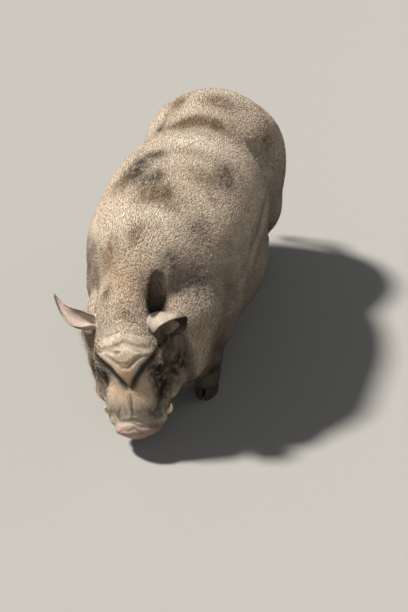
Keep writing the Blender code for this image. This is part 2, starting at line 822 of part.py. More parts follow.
# Materials: colour, roughness and metallic value of each kind of surface
LOOKS = {
    "hide": ("#8C7F74", 0.75, 0.0),
    "ear_skin": ("#8A7B76", 0.65, 0.0),
    "snout_skin": ("#8E7876", 0.55, 0.0),
    "claw_horn": ("#4A423C", 0.55, 0.0),
    "tusk_ivory": ("#CDBF9C", 0.35, 0.0),
    "eye": ("#1E1512", 0.12, 0.0),
    "tail_bristle": ("#6B6159", 0.80, 0.0),
}


def linear(code):
    """An sRGB hex colour in the linear values that a shader takes."""
    parts = [int(code[i:i + 2], 16) / 255 for i in (1, 3, 5)]
    return [c / 12.92 if c <= 0.04045 else ((c + 0.055) / 1.055) ** 2.4 for c in parts] + [1.0]


def look_of(name):
    first_words = {
        "dewclaw": "claw_horn",
        "claw": "claw_horn",
        "ear": "ear_skin",
        "snout": "snout_skin",
        "tusk": "tusk_ivory",
        "eye": "eye",
        "tail": "tail_bristle",
    }
    return first_words.get(name.split("_")[0], "hide")


def dress():
    """Gives each piece its material, and smooth shading with crisp edges."""
    for look, (code, rough, metal) in LOOKS.items():
        material = bpy.data.materials.new(look)
        material.use_nodes = True
        shader = material.node_tree.nodes["Principled BSDF"]
        shader.inputs["Base Color"].default_value = linear(code)
        shader.inputs["Roughness"].default_value = rough
        shader.inputs["Metallic"].default_value = metal
    for made in bpy.context.scene.objects:
        made.data.materials.clear()
        made.data.materials.append(bpy.data.materials[look_of(made.name)])
        made.data.shade_smooth()
        made.data.set_sharp_from_angle(angle=math.radians(50))


def build():
    skin = whole_skin(VOXEL)
    triangulated(skin)
    thinned(skin, lambda p: ~in_head(p) & ~in_foot(p), BODY_TRIANGLES)
    thinned(skin, in_foot, FOOT_TRIANGLES)
    thinned(skin, in_head, HEAD_TRIANGLES)
    larger = grown(skin, GAP * 1.4)
    socketed(skin)

    # Legs
    for pair in ("fore", "hind"):
        for word, side in SIDES:
            inner = leg_block("inner", leg_space(pair, side), 0)
            outer = leg_block("outer", leg_space(pair, side), GAP * 1.1)
            leg = boolean(copied(skin, f"{pair}leg_{word}"), "INTERSECT", inner)
            boolean(skin, "DIFFERENCE", outer)
            remove(inner, outer)
            shod = half(leg, leg.name, (0, 0, CLAW_TOP), (0, 0, 1))
            name = leg.name
            remove(leg)
            shod.name = name

    # Head, snout, neck and torso
    front, _ = parted(skin, *NECK_CUT, "front", "torso")
    head, _ = parted(front, *HEAD_CUT, "head_and_snout", "neck")
    snout_place = HEAD @ Vector((0, SNOUT_CUT, 0))
    snout_way = HEAD.to_3x3() @ Vector((0, -1, 0))
    snout, _ = parted(head, snout_place, snout_way, "snout", "head")
    for _, side in SIDES:
        place = HEAD @ Matrix.Translation((0.021 * side, -0.297, -0.002))
        hole = ellipsoid("hole", place, (0.0085, 0.017, 0.0125))
        boolean(snout, "DIFFERENCE", hole)
        remove(hole)

    # Ears, eyes, tusks and tail
    left_root = HEAD @ Vector((0.060, 0.020, 0.022))
    right_root = HEAD @ Vector((-0.066, -0.009, 0.006))
    ears = [
        ear("ear_left", left_root, (0.0887, -0.0217, 0.0332), (0.127, -0.475, -0.877),
            0.108, 0.012, 1.45, 0.0, -30),
        ear("ear_right", right_root, (-0.1265, -0.0262, 0.0060), (0.12, -0.45, 0.85),
            0.130, 0.004, 0.80, 0.072, 0.0),
    ]
    for made in ears:
        boolean(made, "DIFFERENCE", larger)
    for word, side in SIDES:
        eye(f"eye_{word}", side)
        boolean(tusk(f"tusk_{word}", side), "DIFFERENCE", larger)
    boolean(tail(), "DIFFERENCE", larger)

    # Claws
    for pair in ("fore", "hind"):
        for word, side in SIDES:
            for half_word, half_side in (("inner", -side), ("outer", side)):
                claw(f"claw_{pair}_{word}_{half_word}", pair, side, half_side)
                spur = dewclaw(f"dewclaw_{pair}_{word}_{half_word}", pair, side, half_side)
                boolean(spur, "DIFFERENCE", larger)
    remove(larger)
    settle_on_origin()
    dress()


build()
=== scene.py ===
# %% [markdown]
# A pot-bellied pig, drinking
#
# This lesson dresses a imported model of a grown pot-bellied boar that stands with its head lowered.
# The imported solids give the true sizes. Here they get one seamless skin with folds and wrinkles,
# a thin coat of bristle, and finished eyes, tusks, claws and tail.
# Everything is in metres, +Z is up, the pig faces -Y and its left side is +X.

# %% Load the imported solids
import json
import math

import bpy
import numpy as np
from mathutils import Matrix, Vector, noise
from mathutils.bvhtree import BVHTree

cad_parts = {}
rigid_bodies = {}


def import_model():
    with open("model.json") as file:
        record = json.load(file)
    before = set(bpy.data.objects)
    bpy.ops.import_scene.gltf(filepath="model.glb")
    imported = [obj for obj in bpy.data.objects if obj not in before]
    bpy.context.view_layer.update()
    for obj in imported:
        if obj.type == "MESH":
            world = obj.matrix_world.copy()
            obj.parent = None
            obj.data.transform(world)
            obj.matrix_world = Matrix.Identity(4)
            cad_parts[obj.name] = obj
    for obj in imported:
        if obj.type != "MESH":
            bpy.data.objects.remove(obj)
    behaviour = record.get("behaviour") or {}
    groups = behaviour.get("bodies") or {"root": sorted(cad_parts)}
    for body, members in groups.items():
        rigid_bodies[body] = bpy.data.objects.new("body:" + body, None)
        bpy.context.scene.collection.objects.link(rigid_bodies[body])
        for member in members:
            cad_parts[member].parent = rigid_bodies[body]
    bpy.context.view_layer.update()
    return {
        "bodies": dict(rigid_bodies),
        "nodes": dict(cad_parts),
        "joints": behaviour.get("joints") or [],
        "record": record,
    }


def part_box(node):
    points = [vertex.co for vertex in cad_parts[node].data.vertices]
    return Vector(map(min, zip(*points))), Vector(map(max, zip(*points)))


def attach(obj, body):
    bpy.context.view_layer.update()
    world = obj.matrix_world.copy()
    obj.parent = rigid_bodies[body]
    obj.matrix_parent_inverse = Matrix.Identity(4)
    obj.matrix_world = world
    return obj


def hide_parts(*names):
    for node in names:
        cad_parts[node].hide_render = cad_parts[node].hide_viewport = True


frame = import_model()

BODY_NAME = "root"
SIDES = (("left", 1), ("right", -1))

# %% [markdown]
# The camera
#
# The photograph was taken from in front and above, a little to the pig's left, with a long lens.
# A camera could be matched by hand, by eye. Here its angles and lens are named values, found by laying
# the pig's outline over the photograph until rump, flanks, ears and snout agreed.
# A lens shift keeps the pig where it stands in the frame without tilting the view.

# %% Camera
AIM = Vector((0.0067, -0.060, 0.30))
AZIMUTH, ELEVATION, DISTANCE = math.radians(15), math.radians(35), 5.0
LENS, SENSOR, LENS_SHIFT = 112, 36, (0.045, -0.0842)

backward = Vector((
    math.sin(AZIMUTH) * math.cos(ELEVATION),
    -math.cos(AZIMUTH) * math.cos(ELEVATION),
    math.sin(ELEVATION),
))
bpy.ops.object.select_all(action="DESELECT")
bpy.ops.object.camera_add(location=AIM + backward * DISTANCE)
camera = bpy.context.object
camera.rotation_euler = backward.to_track_quat("Z", "Y").to_euler()
camera.data.lens, camera.data.sensor_width = LENS, SENSOR
camera.data.shift_x, camera.data.shift_y = LENS_SHIFT
bpy.context.scene.camera = camera
print("camera at", tuple(round(c, 3) for c in camera.location))

# %% [markdown]
# The clay
#
# Flesh has no edges, so it is hard to build from flat primitives alone. A sculptor sticks lumps of clay
# together and smooths the joins. This cell does the same: every muscle, fat roll and bone is an ellipsoid
# or a tapered limb, and each one knows how far any point lies from its surface.
# Where two lumps meet, their distances melt together, which is what makes the soft joins.

# %% Places of the head and the whole body
BACK_TOP, BELLY_LOW = 0.575, 0.075
HALF_GIRTH, RUMP_HALF = 0.225, 0.197
CLAW_TOP = 0.031
FORE_X, FORE_Y = 0.128, -0.20
HIND_X, HIND_Y = 0.118, 0.40
EYE, EYE_RADIUS = (0.067, -0.111, 0.036), 0.0125
POLL = Vector((-0.038, -0.365, 0.305))
HEAD_YAW, HEAD_PITCH, HEAD_SWING = (math.radians(a) for a in (2.0, 62.0, 11.0))

poll_frame = Matrix.Translation(POLL) @ Matrix.Rotation(HEAD_YAW, 4, "Z")
poll_frame = poll_frame @ Matrix.Rotation(HEAD_PITCH, 4, "X") @ Matrix.Rotation(HEAD_SWING, 4, "Z")
eye_low, eye_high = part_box("eye_left")
offset = (eye_low + eye_high) / 2 - poll_frame @ Vector(EYE)
BODY = Matrix.Translation(offset)
HEAD = BODY @ poll_frame
HEAD_TURN, HEAD_PLACE = np.array(HEAD.to_3x3()), np.array(HEAD.translation)
print("the solids stand", tuple(round(c * 1000, 2) for c in offset), "mm from the sculpting origin")


# %% Ellipsoids and limbs
class Ball:
    """An ellipsoid of flesh."""

    def __init__(self, centre, radii, blend, frame=BODY, turn=(0, 0, 0)):
        own = Matrix.Rotation(math.radians(turn[2]), 4, "Z")
        own = own @ Matrix.Rotation(math.radians(turn[1]), 4, "Y")
        own = own @ Matrix.Rotation(math.radians(turn[0]), 4, "X")
        self.matrix = frame @ Matrix.Translation(centre) @ own
        self.centre, self.axes = np.array(self.matrix.translation), np.array(self.matrix.to_3x3())
        self.radii, self.blend = np.array(radii, float), blend
        reach = np.abs(self.axes) @ self.radii
        self.low, self.high = self.centre - reach, self.centre + reach

    def distance(self, points):
        local = (points - self.centre) @ self.axes
        near = np.linalg.norm(local / self.radii, axis=1)
        slope = np.linalg.norm(local / self.radii**2, axis=1)
        return near * (near - 1) / np.maximum(slope, 1e-9)

    def block(self):
        bpy.ops.mesh.primitive_ico_sphere_add(subdivisions=3, radius=1)
        bpy.context.object.matrix_world = self.matrix @ Matrix.Diagonal((*self.radii, 1))


class Limb:
    """A tapered stretch of flesh between two round ends."""

    def __init__(self, start, end, start_radius, end_radius, blend, frame=BODY):
        self.start, self.end = np.array(frame @ Vector(start)), np.array(frame @ Vector(end))
        self.radii, self.blend = (start_radius, end_radius), blend
        ends, thick = np.array([self.start, self.end]), np.array([[start_radius], [end_radius]])
        self.low, self.high = (ends - thick).min(0), (ends + thick).max(0)

    def distance(self, points):
        along = self.end - self.start
        first, last = self.radii
        length2, taper = along @ along, first - last
        cone2 = length2 - taper * taper
        from_start = points - self.start
        y = from_start @ along
        z = y - length2
        across = from_start * length2 - np.outer(y, along)
        x2, y2, z2 = (across * across).sum(1), y * y * length2, z * z * length2
        bound = np.sign(taper) * taper * taper * x2
        side = (np.sqrt(x2 * cone2 / length2) + y * taper) / length2 - first
        found = np.where(np.sign(y) * cone2 * y2 < bound, np.sqrt(x2 + y2) / length2 - first, side)
        return np.where(np.sign(z) * cone2 * z2 > bound, np.sqrt(x2 + z2) / length2 - last, found)

    def block(self):
        start, end = Vector(self.start), Vector(self.end)
        for place, radius in zip((start, end), self.radii):
            bpy.ops.mesh.primitive_ico_sphere_add(subdivisions=3, radius=radius, location=place)
        bpy.ops.mesh.primitive_cone_add(
            vertices=24,
            radius1=self.radii[0],
            radius2=self.radii[1],
            depth=(end - start).length,
            location=(start + end) / 2,
            rotation=(end - start).to_track_quat("Z", "Y").to_euler(),
        )


def flip(point, side):
    return (point[0] * side, point[1], point[2])


def ball_pair(centre, radii, blend, frame=BODY, turn=(0, 0, 0)):
    """The same ellipsoid on the left and on the right."""
    return [
        Ball(flip(centre, side), radii, blend, frame, (turn[0], turn[1] * side, turn[2] * side))
        for _, side in SIDES
    ]


def limb_pair(start, end, start_radius, end_radius, blend, frame=BODY):
    """The same limb on the left and on the right."""
    return [
        Limb(flip(start, side), flip(end, side), start_radius, end_radius, blend, frame)
        for _, side in SIDES
    ]


print("two kinds of lump")


# %% Trunk and neck
def trunk():
    """The shoulders, the barrel with its low belly, the loin and the rump."""
    barrel, belly = (HALF_GIRTH * 0.98, 0.345, 0.205), (HALF_GIRTH, 0.29, 0.165)
    return [
        Ball((0, 0.015, BACK_TOP - barrel[2]), barrel, 0.05),
        Ball((0, 0.02, BELLY_LOW + belly[2]), belly, 0.05),
        Ball((0, -0.17, 0.405), (0.163, 0.19, 0.145), 0.06),
        Ball((0, -0.19, 0.25), (0.14, 0.15, 0.14), 0.06),
        *ball_pair((0.098, -0.13, 0.33), (0.110, 0.15, 0.18), 0.05),
        Ball((0, 0.235, 0.385), (0.120, 0.120, 0.165), 0.06),
        Ball((0, 0.36, 0.375), (0.168, 0.155, 0.18), 0.06),
        *ball_pair((0.098, 0.36, 0.34), (RUMP_HALF - 0.098, 0.135, 0.150), 0.06),
        *ball_pair((0.090, 0.33, 0.26), (0.085, 0.12, 0.12), 0.06),
    ]


def neck():
    """The crest of the nape between two thick rolls, which leave a pit behind the ear."""
    return [
        Limb((-0.010, -0.18, 0.42), (-0.048, -0.335, 0.328), 0.118, 0.084, 0.03),
        Limb((0, -0.20, 0.26), (-0.02, -0.30, 0.20), 0.13, 0.09, 0.05),
        Limb((0.090, -0.18, 0.44), (0.106, -0.300, 0.325), 0.084, 0.078, 0.03),
        Limb((0.106, -0.300, 0.325), (0.096, -0.335, 0.200), 0.076, 0.066, 0.03),
        Limb((-0.090, -0.17, 0.37), (-0.100, -0.30, 0.22), 0.078, 0.062, 0.03),
    ]


print(len(trunk()) + len(neck()), "lumps in the trunk and neck")


# %% Head
def skull():
    """The cranium, brow, cheeks, jowls, jaw and muzzle, in the head's own frame with the nose along -Y."""
    return [
        Ball((0, -0.045, 0.0), (0.092, 0.10, 0.078), 0.04, HEAD),
        Ball((0, -0.08, 0.02), (0.080, 0.07, 0.058), 0.03, HEAD),
        *ball_pair((0.036, -0.074, 0.052), (0.050, 0.032, 0.026), 0.022, HEAD, (0, 12, 0)),
        Ball((0.086, -0.105, -0.050), (0.058, 0.078, 0.066), 0.03, HEAD),
        Ball((-0.072, -0.100, -0.050), (0.052, 0.076, 0.064), 0.03, HEAD),
        *ball_pair((0.080, -0.02, -0.085), (0.065, 0.080, 0.070), 0.03, HEAD),
        *ball_pair((0.084, -0.172, -0.042), (0.026, 0.036, 0.028), 0.015, HEAD),
        Limb((0, -0.06, -0.085), (0, -0.214, -0.060), 0.068, 0.034, 0.03, HEAD),
        Limb((0, -0.12, 0.008), (0, -0.255, 0.0), 0.062, 0.047, 0.03, HEAD),
        *ball_pair((0.034, -0.185, 0.028), (0.034, 0.048, 0.024), 0.015, HEAD),
        *limb_pair((0.062, -0.145, -0.024), (0.051, -0.246, -0.018), 0.030, 0.026, 0.02, HEAD),
        Ball((0, -0.275, 0.0), (0.060, 0.020, 0.045), 0.012, HEAD),
    ]


def face_folds():
    """The fat that hangs over the eyes, and the lids around them."""
    return [
        Ball((0, -0.100, 0.058), (0.036, 0.040, 0.024), 0.012, HEAD),
        *limb_pair((0.066, -0.078, 0.050), (0.014, -0.135, 0.055), 0.020, 0.014, 0.010, HEAD),
        *ball_pair(EYE, (0.021, 0.024, 0.020), 0.010, HEAD),
    ]


print(len(skull()) + len(face_folds()), "lumps in the head")


# %% Legs
def foreleg(side):
    x = FORE_X * side
    return [
        Limb((x - 0.010 * side, FORE_Y + 0.01, 0.27), (x, FORE_Y + 0.02, 0.19), 0.078, 0.056, 0.03),
        Limb((x, FORE_Y + 0.02, 0.19), (x, FORE_Y - 0.012, 0.115), 0.055, 0.036, 0.02),
        Ball((x, FORE_Y - 0.014, 0.112), (0.036, 0.038, 0.034), 0.015),
        Limb((x, FORE_Y - 0.012, 0.11), (x, FORE_Y - 0.004, 0.06), 0.030, 0.028, 0.015),
        Limb((x, FORE_Y - 0.002, 0.058), (x, FORE_Y - 0.022, 0.030), 0.031, 0.031, 0.012),
    ]


def hindleg(side):
    x = HIND_X * side
    return [
        Ball((x + 0.006 * side, HIND_Y - 0.09, 0.235), (0.066, 0.085, 0.09), 0.03),
        Limb((x, HIND_Y - 0.06, 0.22), (x, HIND_Y + 0.025, 0.15), 0.075, 0.040, 0.03),
        Ball((x, HIND_Y + 0.028, 0.142), (0.033, 0.042, 0.036), 0.015),
        Limb((x, HIND_Y + 0.026, 0.14), (x, HIND_Y + 0.008, 0.06), 0.031, 0.028, 0.015),
        Limb((x, HIND_Y + 0.008, 0.058), (x, HIND_Y - 0.012, 0.030), 0.031, 0.031, 0.012),
    ]


LUMPS = [*trunk(), *neck(), *skull(), *face_folds()]
LUMPS += [lump for _, side in SIDES for lump in foreleg(side) + hindleg(side)]
PIT = Ball((0.031, -0.362, 0.400), (0.0185, 0.085, 0.054), 0.008, BODY, (-20, 0, 0))
print(len(LUMPS), "lumps of clay in all")

# %% [markdown]
# Melting and pressing
#
# A smooth minimum of the distances melts the lumps into one form. A smooth maximum with a reversed
# lump carves, which gives the pit behind the ear, the nostrils and the slits of the eyes.
# Folds and wrinkles are lines laid on the clay and pressed in, as with the edge of a modelling tool,
# and a line with a negative depth raises a welt instead, which is how the lids get their rims.

# %% Melting the lumps
FAR, PROBE, STEP = 1.0, 0.0004, 0.006


def near_box(points, low, high, margin):
    return ((points > low - margin) & (points < high + margin)).all(1)


def carve(found, points, ball):
    """Cuts a lump's shape out of the clay, with a soft edge."""
    near = near_box(points, ball.low, ball.high, ball.blend)
    if near.any():
        one, other = found[near], -ball.distance(points[near])
        share = np.clip(0.5 + 0.5 * (other - one) / ball.blend, 0, 1)
        found[near] = one + (other - one) * share + ball.blend * share * (1 - share)


def melted(points):
    """How far each point lies outside the lumps, melted together. It is true near the surface only."""
    found = np.full(len(points), FAR)
    for lump in LUMPS:
        near = near_box(points, lump.low, lump.high, lump.blend + 0.03)
        if near.any():
            one, other = found[near], lump.distance(points[near])
            share = np.clip(0.5 + 0.5 * (one - other) / lump.blend, 0, 1)
            found[near] = one + (other - one) * share - lump.blend * share * (1 - share)
    carve(found, points, PIT)
    return found


def slope_of(points, depth_of):
    """The depth at each point and the way that it grows, from four corners around the point."""
    depth, slope = 0, 0
    for corner in np.array(((1, 1, 1), (1, -1, -1), (-1, 1, -1), (-1, -1, 1))):
        found = depth_of(points + corner * PROBE)
        depth = depth + found / 4
        slope = slope + np.outer(found, corner) / (4 * PROBE)
    return depth, slope


def pull_of(points, depth_of):
    """The step that takes each point straight onto the surface."""
    depth, slope = slope_of(points, depth_of)
    step = -slope * (depth / np.maximum((slope * slope).sum(1), 0.05))[:, None]
    length = np.linalg.norm(step, axis=1)
    return step * np.minimum(1, STEP / np.maximum(length, 1e-9))[:, None]


print("depth of the poll in the clay", round(float(melted(HEAD_PLACE[None])[0]), 4))


# %% Pressed lines
class Crease:
    """A groove pressed into the clay along a line, or a welt where its depth is negative."""

    def __init__(self, places, width, depth, frame=BODY, laid=True):
        line = np.array([tuple(frame @ Vector(place)) for place in places])
        steps = np.linspace(0, len(line) - 1, 6 * (len(line) - 1) + 1)
        line = np.stack([np.interp(steps, range(len(line)), line[:, axis]) for axis in range(3)], 1)
        for _ in range(6 if laid else 0):
            line = line + pull_of(line, melted)
        self.line, self.width = line, width
        self.depths = depth * np.sin(np.linspace(0.12, 0.88, len(line)) * math.pi) ** 0.6
        self.low, self.high = line.min(0) - 3 * width, line.max(0) + 3 * width

    def press(self, points):
        """How deep the groove is at each point."""
        nearest, deep = np.full(len(points), FAR), np.zeros(len(points))
        for first, last, one, other in zip(self.line, self.line[1:], self.depths, self.depths[1:]):
            along = last - first
            share = np.clip((points - first) @ along / (along @ along), 0, 1)
            gap = np.linalg.norm(points - first - np.outer(share, along), axis=1)
            closer = gap < nearest
            nearest[closer] = gap[closer]
            deep[closer] = (one + (other - one) * share)[closer]
        return deep * np.exp(-(nearest / self.width) ** 2)


def crease_pair(places, width, depth, frame=BODY):
    """The same groove on the left and on the right."""
    return [Crease([flip(place, side) for place in places], width, depth, frame) for _, side in SIDES]


def mirrored(places):
    """A line from the middle out to the left, carried over to the right as well."""
    return [flip(place, -1) for place in places[:0:-1]] + places


print("grooves and welts")


# %% Folds of the body
def body_creases():
    """The groove over each flank, the waist and the edges of the neck's rolls."""
    flank = [(0.200, 0.12, 0.405), (0.209, 0.05, 0.410), (0.211, -0.02, 0.388), (0.2, -0.09, 0.382),
             (0.195, -0.17, 0.345)]
    waist = [(0.165, 0.24, 0.50), (0.20, 0.225, 0.40), (0.20, 0.205, 0.28), (0.16, 0.225, 0.18)]
    roll = [(0.17, -0.25, 0.41), (0.185, -0.235, 0.34), (0.18, -0.25, 0.25)]
    return [
        *crease_pair(flank, 0.018, 0.008),
        *crease_pair(waist, 0.026, 0.009),
        *crease_pair(roll, 0.018, 0.008),
    ]


LEG_RINGS = ((FORE_X, FORE_Y, (0.150, 0.085, 0.072)), (HIND_X, HIND_Y + 0.02, (0.165, 0.100, 0.080)))


def leg_wrinkles():
    """Fine rings of loose skin above the knee, the hock and the fetlocks."""
    made = []
    for x, y, heights in LEG_RINGS:
        for height in heights:
            ring = [(x - 0.05, y, height), (x, y - 0.05, height - 0.004), (x + 0.05, y, height)]
            back = [(x - 0.05, y, height), (x, y + 0.05, height + 0.004), (x + 0.05, y, height)]
            made += crease_pair(ring, 0.004, 0.0022) + crease_pair(back, 0.004, 0.0022)
    return made


print(len(body_creases()), "folds on the body")


# %% Folds of the face
def face_creases():
    """The edges of the brow's rolls, the deep folds over the eyes, the mouth and the snout's wrinkle."""
    brow = mirrored([(0, -0.046, 0.084), (0.032, -0.058, 0.08), (0.075, -0.066, 0.06)])
    second = mirrored([(0, -0.100, 0.084), (0.02, -0.094, 0.08), (0.045, -0.072, 0.075)])
    over_eye = [(0.090, -0.056, 0.040), (0.070, -0.080, 0.060), (0.043, -0.108, 0.066),
                (0.019, -0.140, 0.066), (0.006, -0.158, 0.056)]
    cheek = [(0.100, -0.11, 0.02), (0.090, -0.16, 0.0), (0.082, -0.19, -0.01)]
    jowl = [(0.131, -0.038, 0.021), (0.140, -0.077, 0.005), (0.144, -0.114, -0.008), (0.137, -0.166, -0.048)]
    snout = mirrored([(0, -0.246, 0.05), (0.045, -0.252, 0.03)])
    mouth = mirrored([(0, -0.250, -0.046), (0.030, -0.244, -0.048), (0.058, -0.215, -0.050),
                      (0.072, -0.175, -0.050), (0.084, -0.125, -0.046)])
    return [
        Crease(brow, 0.007, 0.007, HEAD),
        Crease(second, 0.005, 0.004, HEAD),
        *crease_pair(over_eye, 0.0085, 0.017, HEAD),
        *crease_pair(cheek, 0.010, 0.010, HEAD),
        *crease_pair(jowl, 0.012, 0.012, HEAD),
        Crease(snout, 0.005, 0.005, HEAD),
        Crease(mouth, 0.005, 0.009, HEAD),
    ]


def fine_wrinkles():
    """The narrow lines that a fat face is full of, sharper than the folds that they run in."""
    brow_right = [(-0.072, -0.068, 0.066), (-0.062, -0.065, 0.069), (-0.053, -0.063, 0.072),
                  (-0.036, -0.064, 0.079), (-0.014, -0.068, 0.086)]
    brow_left = [(-0.004, -0.055, 0.081), (0.006, -0.053, 0.079), (0.018, -0.056, 0.080),
                 (0.030, -0.064, 0.081), (0.042, -0.069, 0.080)]
    frown = [(-0.045, -0.075, 0.079), (-0.033, -0.086, 0.080), (-0.018, -0.096, 0.081),
             (-0.008, -0.106, 0.083), (0.007, -0.108, 0.083), (0.017, -0.098, 0.081),
             (0.026, -0.086, 0.081), (0.039, -0.081, 0.080), (0.058, -0.081, 0.074)]
    over_eye = [(0.078, -0.072, 0.062), (0.062, -0.095, 0.062), (0.051, -0.112, 0.062),
                (0.039, -0.125, 0.061), (0.026, -0.138, 0.061)]
    crown = [(0.008, -0.018, 0.08), (0.030, -0.026, 0.08), (0.060, -0.030, 0.07)]
    under = [(0.086, -0.130, 0.020), (0.070, -0.142, 0.030), (0.052, -0.142, 0.038)]
    under_low = [(0.088, -0.144, 0.012), (0.070, -0.156, 0.024), (0.050, -0.158, 0.034)]
    outer = [(0.084, -0.090, 0.030), (0.094, -0.075, 0.020), (0.102, -0.060, 0.008)]
    bridge = [(0.003, -0.179, 0.060), (0.003, -0.213, 0.053), (0.000, -0.239, 0.047)]
    bridge_right = [(-0.018, -0.196, 0.055), (-0.015, -0.217, 0.051), (-0.013, -0.238, 0.046)]
    pad = [(0.026, -0.205, 0.05), (0.032, -0.222, 0.045), (0.034, -0.238, 0.04)]
    above_snout = [(-0.041, -0.257, 0.022), (-0.018, -0.252, 0.040), (0.001, -0.253, 0.046),
                   (0.015, -0.263, 0.043), (0.029, -0.265, 0.037)]
    corner = [(0.020, -0.243, 0.040), (0.030, -0.252, 0.034), (0.039, -0.262, 0.025)]
    rim = [(-0.043, -0.280, 0.030), (-0.031, -0.271, 0.037), (-0.014, -0.273, 0.045), (0.0, -0.266, 0.046),
           (0.009, -0.273, 0.045), (0.022, -0.281, 0.039), (0.038, -0.281, 0.031)]
    beside = [(0.062, -0.200, 0.020), (0.066, -0.222, 0.010), (0.064, -0.242, 0.004)]
    lip = [(0.078, -0.160, -0.020), (0.074, -0.195, -0.026), (0.066, -0.228, -0.030)]
    return [
        Crease(brow_right, 0.0045, 0.0100, HEAD),
        Crease(brow_left, 0.0040, 0.0080, HEAD),
        Crease(frown, 0.0038, 0.0080, HEAD),
        *crease_pair(over_eye, 0.0050, 0.0090, HEAD),
        *crease_pair(crown, 0.0040, 0.0022, HEAD),
        *crease_pair(under, 0.0030, 0.0034, HEAD),
        *crease_pair(under_low, 0.0030, 0.0030, HEAD),
        *crease_pair(outer, 0.0032, 0.0034, HEAD),
        Crease(bridge, 0.0032, 0.0032, HEAD),
        Crease(bridge_right, 0.0026, 0.0024, HEAD),
        *crease_pair(pad, 0.0026, 0.0022, HEAD),
        Crease(above_snout, 0.0028, 0.0040, HEAD),
        *crease_pair(corner, 0.0026, 0.0032, HEAD),
        Crease(rim, 0.0026, 0.0032, HEAD),
        *crease_pair(beside, 0.0030, 0.0026, HEAD),
        *crease_pair(lip, 0.0030, 0.0030, HEAD),
    ]


print(len(face_creases()), "folds and", len(fine_wrinkles()), "fine wrinkles on the face")


# %% Openings of the eyes and nostrils
SLIT = (0.0102, 0.0056, 0.020)
LID_RISE, LID_WIDTH, LID_HEIGHT, LID_GROW, LID_GAP = 0.0150, 0.0016, 0.0013, 1.12, 0.0012


def eye_ways(side):
    """The way an eye looks, the way its slit runs and the way across the slit."""
    out = (HEAD.to_3x3() @ Vector((0.72 * side, -0.25, 0.66))).normalized()
    slit = HEAD.to_3x3() @ Vector((0.35 * side, 0.90, 0.10))
    slit = (slit - slit.dot(out) * out).normalized()
    return out, slit, out.cross(slit)


def eye_frame(side):
    """A frame at the eye's centre: X along the slit, Y across it, Z the way the eye looks."""
    out, slit, across = eye_ways(side)
    turn = Matrix((slit, across, out)).transposed().to_4x4()
    return Matrix.Translation(HEAD @ Vector(flip(EYE, side))) @ turn


def lid_rim(side, half):
    """A welt along one lid's edge, a little outside the slit."""
    line = []
    for i in range(7):
        t = -1 + i / 3
        arch = math.sqrt(max(0.0, 1 - t * t))
        line.append((SLIT[0] * LID_GROW * t, half * (LID_GAP + SLIT[1] * LID_GROW * arch), LID_RISE))
    return Crease(line, LID_WIDTH, -LID_HEIGHT, eye_frame(side), laid=False)


HOLLOWS, LIDS = [], []
for _, side in SIDES:
    place = eye_frame(side)
    HOLLOWS.append(Ball((0, 0, 0.0285), (0.0165, 0.0125, 0.0135), 0.006, place))
    HOLLOWS.append(Ball((0, 0, 0.010), SLIT, 0.0012, place))
    HOLLOWS.append(Ball((0.023 * side, -0.297, -0.002), (0.0092, 0.019, 0.0130), 0.004, HEAD))
    LIDS += [lid_rim(side, half) for half in (1, -1)]
print(len(HOLLOWS), "hollows and", len(LIDS), "lid rims")

# %% Depth of the finished skin
CREASES = body_creases() + leg_wrinkles() + face_creases() + fine_wrinkles() + LIDS
COAT_DEPTH, FACE_DEPTH, CLAW_LAP, FOOT_BLEND = 0.0030, 0.0008, 0.003, 0.004


def smooth(low, high, value):
    share = np.clip((value - low) / (high - low), 0, 1)
    return share * share * (3 - 2 * share)


def in_head_frame(points):
    return (points - HEAD_PLACE) @ HEAD_TURN


def faceward(points):
    """0 on the body and 1 on the face, which carries almost no coat."""
    own = in_head_frame(points)
    return smooth(0.03, -0.07, own[:, 1]) * smooth(-0.25, -0.34, points[:, 1])


def footward(points):
    return smooth(0.13, 0.07, points[:, 2]) * smooth(-0.36, -0.30, points[:, 1])


def skin_distance(points):
    """How far each point lies outside the skin, which is under the clay's surface by the coat's depth."""
    found = melted(points)
    for crease in CREASES:
        near = near_box(points, crease.low, crease.high, 0)
        if near.any():
            found[near] += crease.press(points[near])
    bare = np.maximum(faceward(points), footward(points))
    found = found + COAT_DEPTH + (FACE_DEPTH - COAT_DEPTH) * bare
    for hollow in HOLLOWS:
        carve(found, points, hollow)
    foot = CLAW_TOP - CLAW_LAP - points[:, 2]
    share = np.clip(0.5 + 0.5 * (foot - found) / FOOT_BLEND, 0, 1)
    return found + (foot - found) * share + FOOT_BLEND * share * (1 - share)


print(len(CREASES), "pressed lines")

# %% [markdown]
# The skin
#
# The lumps are added as real primitives, joined and voxel-remeshed, as a sculptor would block out
# a figure. The remesh gives even quads but a lumpy surface, so its points are then evened out and pulled
# onto the melted clay a few times. The head's faces are split once, those of the face twice and those
# around the eyes three times, so that the fine mesh is only where the fine folds are.


# %% Reading and writing mesh data
def read(items, field, width=3):
    flat = np.empty(len(items) * width, np.float32)
    items.foreach_get(field, flat)
    return flat.reshape(-1, width).astype(float)


def edges_of(mesh):
    flat = np.empty(len(mesh.edges) * 2, np.int32)
    mesh.edges.foreach_get("vertices", flat)
    return flat.reshape(-1, 2)


def make_active(*objects):
    """Selects these objects alone and makes the first one active."""
    bpy.ops.object.select_all(action="DESELECT")
    for made in objects:
        made.select_set(True)
    bpy.context.view_layer.objects.active = objects[0]


def on_all_faces(made, operator, **settings):
    """Runs one edit-mode operator on every face of an object."""
    make_active(made)
    bpy.ops.object.mode_set(mode="EDIT")
    bpy.ops.mesh.select_all(action="SELECT")
    operator(**settings)
    bpy.ops.object.mode_set(mode="OBJECT")


def write_points(mesh, points):
    mesh.vertices.foreach_set("co", points.astype(np.float32).ravel())


